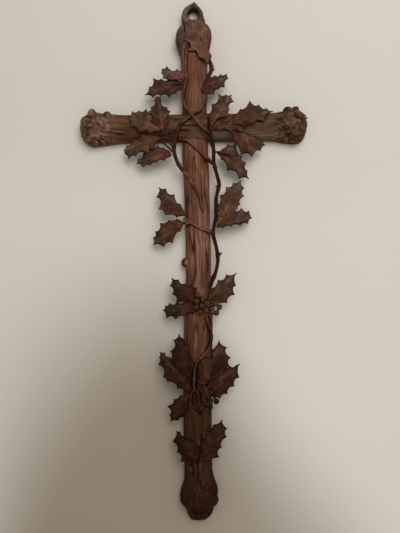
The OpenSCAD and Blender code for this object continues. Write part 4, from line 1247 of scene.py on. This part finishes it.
def twig(route, diameter, seed, look=PLAIN_STEM, joint=JOINT):
    """Tube along a route with round ends: radius = 0.92 x half the diameter x slimness x (1
    + knots + ribs + 0.1 noise). A knot is a bell every joint mm, and the ribs are cosines
    that twist slowly round the stem. Returns the points, UV and marks."""
    path = curve(route, max(6, int(40 / len(route))))
    step = np.gradient(path, axis=0)
    step /= np.linalg.norm(step, axis=1, keepdims=True)
    front = np.array([[0.0, -1.0, 0.0]]) + step[:, 1:2] * step
    front /= np.linalg.norm(front, axis=1, keepdims=True)
    side = np.cross(step, front)
    walked = lengths(path)[:, None]
    turn = np.linspace(0, 2 * np.pi, 20, endpoint=False)[None]
    r = diameter / 2
    knots = 0.26 * bell((walked + 3 * seed) % joint, joint / 2, 2.6)
    twist = turn + walked / 16
    ribs = 0.05 * np.cos(5 * twist) + 0.03 * np.cos(9 * twist + 1)
    uneven = smooth_noise(walked / 6 + np.cos(turn) + 9, np.sin(turn) + 9, seed)
    from_end = np.minimum(np.minimum(walked, walked[-1] - walked) / r, 1)
    end = np.sqrt(np.clip(from_end * (2 - from_end), 0.02, 1))
    free = slope(np.abs(path[:, :1]), FREE_FROM, FREE_AT)
    slim = SLIM + (1 - SLIM) * free * (diameter > 4)
    path = path + np.array([[0.0, 1.0, 0.0]]) * r * (1 - slim)
    radius = 0.92 * r * slim * (1 + knots + ribs + 0.1 * uneven) * end
    points = path[:, None] + radius[..., None] * (
        np.cos(turn)[..., None] * front[:, None] + np.sin(turn)[..., None] * side[:, None])

    around = np.append(turn, [[2 * np.pi]], 1) * r + 0 * walked
    uv = np.stack([walked + 40.0 * seed + 0 * around, around], 2)
    rind = np.clip(-14 * ribs - 0.2 + 0.6 * np.clip(-uneven, 0, 1), 0, 1)
    # Painted shade: the sides and back of the stem are painted dark.
    below = np.clip(0.5 - 1.6 * np.cos(turn), 0, 0.9)
    # Painted highlight: the front of the stem is painted light.
    lit_crest = np.clip(np.cos(turn), 0, 1) ** 2 * np.clip(0.55 + 6 * ribs + 2 * knots + 0.3 * uneven, 0, 1)
    marks = {"grime_and_shade": np.maximum(0.7 * rind, below), "wear_and_highlight": lit_crest * (1 - 0.5 * free),
             "shade": look[0] + 0.5 * free + 0 * lit_crest, "tone": look[1] - 0.6 * free + 0 * lit_crest}
    return points, uv, marks


def twigs(name, parts, node):
    """One piece of several tubes, which stands for one CAD node."""
    points, uvs, marks = zip(*parts)
    piece = sew(name, points, {key: [m[key] for m in marks] for key in marks[0]}, uvs)
    dress(piece, STEM, node)


print("stems have a knot every", JOINT, "mm, stalks every", STALK_JOINT, "mm")


# %% Making the stems and stalks
for number, (name, route) in enumerate(STEMS.items()):
    size = STALK_D if "fork" in name else LOWER_STEM_D if name == "stem_lower" else STEM_D
    stem = twig(route, size, 60 + number, LOOKS.get(name, PLAIN_STEM))
    twigs("carved_" + name, [stem], name)
stalks = [twig(route, STALK_D, 80 + k, joint=STALK_JOINT) for k, route in enumerate(STALKS)]
twigs("carved_leaf_stalks", stalks, "leaf_stalks")

# %% [markdown]
# Three thorns stand out from the stems at the right. A thorn is a flat cone: wide where it
# grows out of the stem, and pointed.


# %% Thorns
THORN_EDGE = 0.35


def thorn(foot, tip, width, out):
    """Flat cone from foot to tip: half width = width / 2 x (1 - t)^1.3 + 0.35 across, and
    0.35 + 0.3 x that towards the front, but no thicker than a stalk, with t from 0 to 1."""
    t = np.linspace(0, 1, 24)[:, None]
    turn = np.linspace(0, 2 * np.pi, 32, endpoint=False)[None]
    run = np.array(tip, float) - foot
    ahead = run / np.linalg.norm(run)
    half_w = width / 2 * (1 - t) ** 1.3 + THORN_EDGE
    deep = np.minimum(THORN_EDGE + 0.3 * half_w, STALK_D / 2)
    middle = np.array(foot) + t * run
    side = half_w * np.sin(turn)
    points = np.stack([middle[:, :1] - side * ahead[1], -out - deep * np.cos(turn),
                       middle[:, 1:] + side * ahead[0]], 2)
    around = np.append(turn, [[2 * np.pi]], 1) * 2 + 0 * t
    # Painted highlight: the front of the thorn is painted light.
    lit_crest = np.clip(np.cos(turn), 0, 1) ** 3 * 0.4 + 0 * t
    marks = {"grime_and_shade": 0.5 * (1 - t) + 0 * turn, "wear_and_highlight": lit_crest, "shade": 0.45 + 0 * lit_crest,
             "tone": 0 * lit_crest - 0.4}
    return points, np.stack([20 * t + 0 * around, around], 2), marks


twigs("carved_thorns", [thorn(*row) for row in THORNS], "thorns")

# %% [markdown]
# ## Berries
# The berries are round beads with a small puckered crown, as holly berries have. A plain
# ball would do from far away. Here the radius dips in the middle of the crown and rises in
# a lip round it, so the crown shows as a ring. A berry is its middle's x, z and height off
# the wall. The last one hangs alone among the low leaves, in their shade.

# %% Berries
LONE_BELOW, LONE_BERRY_SHADE = -400, 0.45
BERRIES = [(0.5, -325, 26), (6, -329.5, 26.5), (11.5, -334, 26), (5, -337, 26.5), (-1.3, -339, 25),
           (16.3, -340.7, 24.2), (20.2, -335, 23.5), (25, -339.3, 21.2), (21.5, -346, 21),
           (10, -342.5, 25.5), (-0.8, -332.1, 26), (3.4, -344.2, 25), (20, -446, 24)]


def berry(x, z, out, seed):
    """Ball with radius r (1 - 0.22 e^-(a / 0.22)^2 + 0.05 e^-((a - 0.5) / 0.14)^2 + 0.02
    noise), where a is the angle from the crown, which is tilted a little at random. Returns
    the points and marks."""
    a = np.linspace(0.02, np.pi - 0.02, 26)[:, None]
    t = np.linspace(0, 2 * np.pi, 36, endpoint=False)[None]
    uneven = smooth_noise(2 * np.cos(t) + 9, 3 * a + 2 * np.sin(t) + 9, seed)
    r = BERRY_D / 2 * (1 - 0.22 * bell(a, 0, 0.22) + 0.05 * bell(a, 0.5, 0.14) + 0.02 * uneven)
    lean = np.random.default_rng(seed).uniform(-0.5, 0.5, 2)
    pole = np.array([lean[0], -1, lean[1]]) / np.linalg.norm([lean[0], -1, lean[1]])
    one = np.cross(pole, [0, 0, 1]) / np.linalg.norm(np.cross(pole, [0, 0, 1]))
    two = np.cross(pole, one)
    ball = r[..., None] * (np.cos(a)[..., None] * pole + (np.sin(a) * np.cos(t))[..., None] * one
                           + (np.sin(a) * np.sin(t))[..., None] * two)
    # Painted shade: the back half of the berry is painted dark round its outline; the pit of the crown is
    # darker as well.
    dirt_and_shade = np.maximum(bell(a, 0, 0.3), np.clip((a - 0.9) / 0.5, 0, 0.9)) + 0 * t
    shade = LONE_BERRY_SHADE if z < LONE_BELOW else 0.0
    marks = {"grime_and_shade": dirt_and_shade, "wear_and_highlight": 0.7 * bell(a, 0.5, 0.2) + 0 * t, "shade": shade + 0 * dirt_and_shade}
    return ball + np.array([x, -out, z]), marks


front_y = corners("berries")[0][1]
balls = [berry(*place, 200 + k) for k, place in enumerate(BERRIES)]
beads = [np.maximum(ball, [-np.inf, front_y, -np.inf]) for ball, marks in balls]
bead_marks = {key: [marks[key] for ball, marks in balls] for key in balls[0][1]}
piece_berries = sew("carved_berries", beads, bead_marks)
dress(piece_berries, BERRY, "berries")

# %% [markdown]
# ## Pegs and pins
# Two pegs lock the lap joint and nine pins hold the stems. They are plain turned rods on
# the real object too, so the CAD nodes stay and only get a wood finish.

# %% Pegs and pins
for name in ("lap_pegs", "stem_pins"):
    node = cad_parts[name]
    node.data.materials.clear()
    node.data.materials.append(PEG)
    print(name, "keeps its CAD form")

# %% [markdown]
# ## Wall, floor and light
# The cross hangs on a pale painted wall, over a pale floor. Both are single flat sheets,
# 6 m wide, so that no edge shows. A box would do for a room too, but it would shut out the
# light of the sky.


# %% Stage sheets
WALL_Y, FLOOR_Z, ROOM = 0.0006, -0.75, 3.0


def stage_sheet(name, outline, material):
    """Flat four-sided stage sheet. Its corners run anticlockwise, seen from its front."""
    mesh = bpy.data.meshes.new(name)
    mesh.from_pydata(outline, [], [(0, 1, 2, 3)])
    mesh.materials.append(material)
    sheet = bpy.data.objects.new(name, mesh)
    bpy.context.scene.collection.objects.link(sheet)
    print(name, "is", 2 * ROOM, "m wide")


def stage_paint(name, roughness):
    """Material of a stage sheet: (material, its tree, its shader, Object coordinates)."""
    material = bpy.data.materials.new(name)
    material.use_nodes = True
    tree = material.node_tree
    shader = tree.nodes["Principled BSDF"]
    shader.inputs["Roughness"].default_value = roughness
    return material, tree, shader, add(tree, "TexCoord").outputs["Object"]


# %% [markdown]
# The wall's paint darkens a little towards the top. Low on the left lies a soft dusk, as in
# a corner that gets less light. A second lamp with a screen could throw it, but it would
# darken the cross too, so it is in the paint. Its edge is level under the cross, rises to
# the left of it and falls away to the right: depth = (z + 0.2) x (1 - 4 x left, but at
# least 0.3) - 0.2 + 1.28 x right, in metres from x = -0.09 to the left and from x = -0.05
# to the right. The dusk is full below -0.47 and gone above -0.215.

# %% Wall paint
DUSK_FULL, DUSK_GONE = -0.47, -0.215
wall_paint, tree, shader, place = stage_paint("wall paint", 0.8)
axes = add(tree, "SeparateXYZ", {0: place}).outputs
grain = add(tree, "TexNoise", {"Vector": place, "Scale": 260.0, "Detail": 3.0})
blotch = add(tree, "TexNoise", {"Vector": place, "Scale": 5.0, "Detail": 2.0})
up = maths(tree, "MULTIPLY_ADD", blotch.outputs["Fac"], 0.1, ramp(tree, axes["Z"], -0.62, 0.02),
           clamp=True)
right_of = maths(tree, "MAXIMUM", maths(tree, "ADD", axes["X"], 0.05), 0.0)
left_of = maths(tree, "MAXIMUM", maths(tree, "SUBTRACT", -0.09, axes["X"]), 0.0)
to_left = maths(tree, "MINIMUM", maths(tree, "MULTIPLY", left_of, 4.0), 0.7)
below = maths(tree, "MULTIPLY", maths(tree, "ADD", axes["Z"], 0.2), maths(tree, "SUBTRACT", 1.0, to_left))
depth = maths(tree, "ADD", maths(tree, "SUBTRACT", below, 0.2), maths(tree, "MULTIPLY", right_of, 1.28))
dusk = maths(tree, "MULTIPLY", ramp(tree, depth, DUSK_FULL, DUSK_GONE, 1.0, 0.0),
             ramp(tree, axes["X"], -0.05, 0.15, 1.0, 0.78))
colour = blend(tree, up, paint(210, 204, 194), paint(197, 189, 175))
colour = blend(tree, dusk, colour, paint(143, 130, 113))
tree.links.new(colour, shader.inputs["Base Color"])
bump = add(tree, "Bump", {"Strength": 0.15, "Distance": 0.0006, "Height": grain.outputs["Fac"]})
tree.links.new(bump.outputs[0], shader.inputs["Normal"])
print("the wall has", len(tree.nodes), "shader nodes")

# %% [markdown]
# The back of the cross touches the wall, but it should be seen as well. So the wall is
# clear from behind, and rays that have run less than 2 mm when they meet it pass through:
# they come from the back of the cross, which gets its share of light in this way.

# %% Clear from behind
TOUCHING = 0.002
near = maths(tree, "LESS_THAN", add(tree, "LightPath").outputs["Ray Length"], TOUCHING)
behind = tree.nodes.new("ShaderNodeNewGeometry").outputs["Backfacing"]
clear = add(tree, "BsdfTransparent")
front_only = add(tree, "MixShader", {0: maths(tree, "MAXIMUM", behind, near), 1: shader.outputs[0],
                                     2: clear.outputs[0]})
tree.links.new(front_only.outputs[0], tree.nodes["Material Output"].inputs["Surface"])
stage_sheet("wall", [(-ROOM, WALL_Y, FLOOR_Z), (ROOM, WALL_Y, FLOOR_Z), (ROOM, WALL_Y, ROOM),
                     (-ROOM, WALL_Y, ROOM)], wall_paint)

# %% Pale floor
floor_paint, tree, shader, place = stage_paint("pale floor", 0.7)
speck = add(tree, "TexNoise", {"Vector": place, "Scale": 30.0, "Detail": 4.0})
tree.links.new(blend(tree, speck.outputs["Fac"], paint(206, 202, 194), paint(222, 218, 210)),
               shader.inputs["Base Color"])
stage_sheet("floor", [(-ROOM, -ROOM, FLOOR_Z), (ROOM, -ROOM, FLOOR_Z), (ROOM, ROOM, FLOOR_Z),
                      (-ROOM, ROOM, FLOOR_Z)], floor_paint)

# %% [markdown]
# One large soft lamp above and to the right gives the soft shadows on the wall, and the
# even light of a grey sky lifts them. A sun lamp would draw hard edges behind every leaf.


# %% Lamp and sky
def lamp(name, place, target, size, watts):
    """Square soft lamp that faces a target. A white sheet that it lights squarely from
    distance d gets watts / (pi d^2) watts per square metre."""
    data = bpy.data.lights.new(name, "AREA")
    data.size, data.energy = size, watts
    light = bpy.data.objects.new(name, data)
    bpy.context.scene.collection.objects.link(light)
    light.location = place
    aim = Vector(target) - Vector(place)
    light.rotation_euler = aim.to_track_quat("-Z", "Y").to_euler()
    print(name, "stands", round(aim.length, 2), "m away")


lamp("key lamp", (0.32, -1.2, 0.34), (0.0, 0.0, -0.2), 0.8, 12.15)
world = bpy.data.worlds.new("grey room")
world.use_nodes = True
sky = world.node_tree.nodes["Background"].inputs
sky["Color"].default_value = (0.93, 0.96, 1.0, 1.0)
sky["Strength"].default_value = 0.6
bpy.context.scene.world = world

# %% [markdown]
# ## Camera
# The camera stands square to the wall, a little over half a metre away, level with the
# middle of the cross, and is turned by under one degree, as a hand-held camera is. So near,
# its wide lens shows the logs' sides as the real view does.

# %% Camera
CAMERA_PLACE = (0.0036, -0.611, -0.2928)
CAMERA_TURN = math.radians(0.8)
data = bpy.data.cameras.new("camera")
data.lens, data.sensor_width = 34.99, 36.0
data.clip_start = 0.01
camera = bpy.data.objects.new("camera", data)
camera.matrix_world = (Matrix.Translation(CAMERA_PLACE) @ Matrix.Rotation(CAMERA_TURN, 4, "Y")
                       @ Matrix.Rotation(math.radians(90), 4, "X"))
bpy.context.scene.collection.objects.link(camera)
bpy.context.scene.camera = camera
bpy.context.scene.view_settings.view_transform = "Standard"
print("the camera sees", round(math.degrees(data.angle), 1), "degrees")
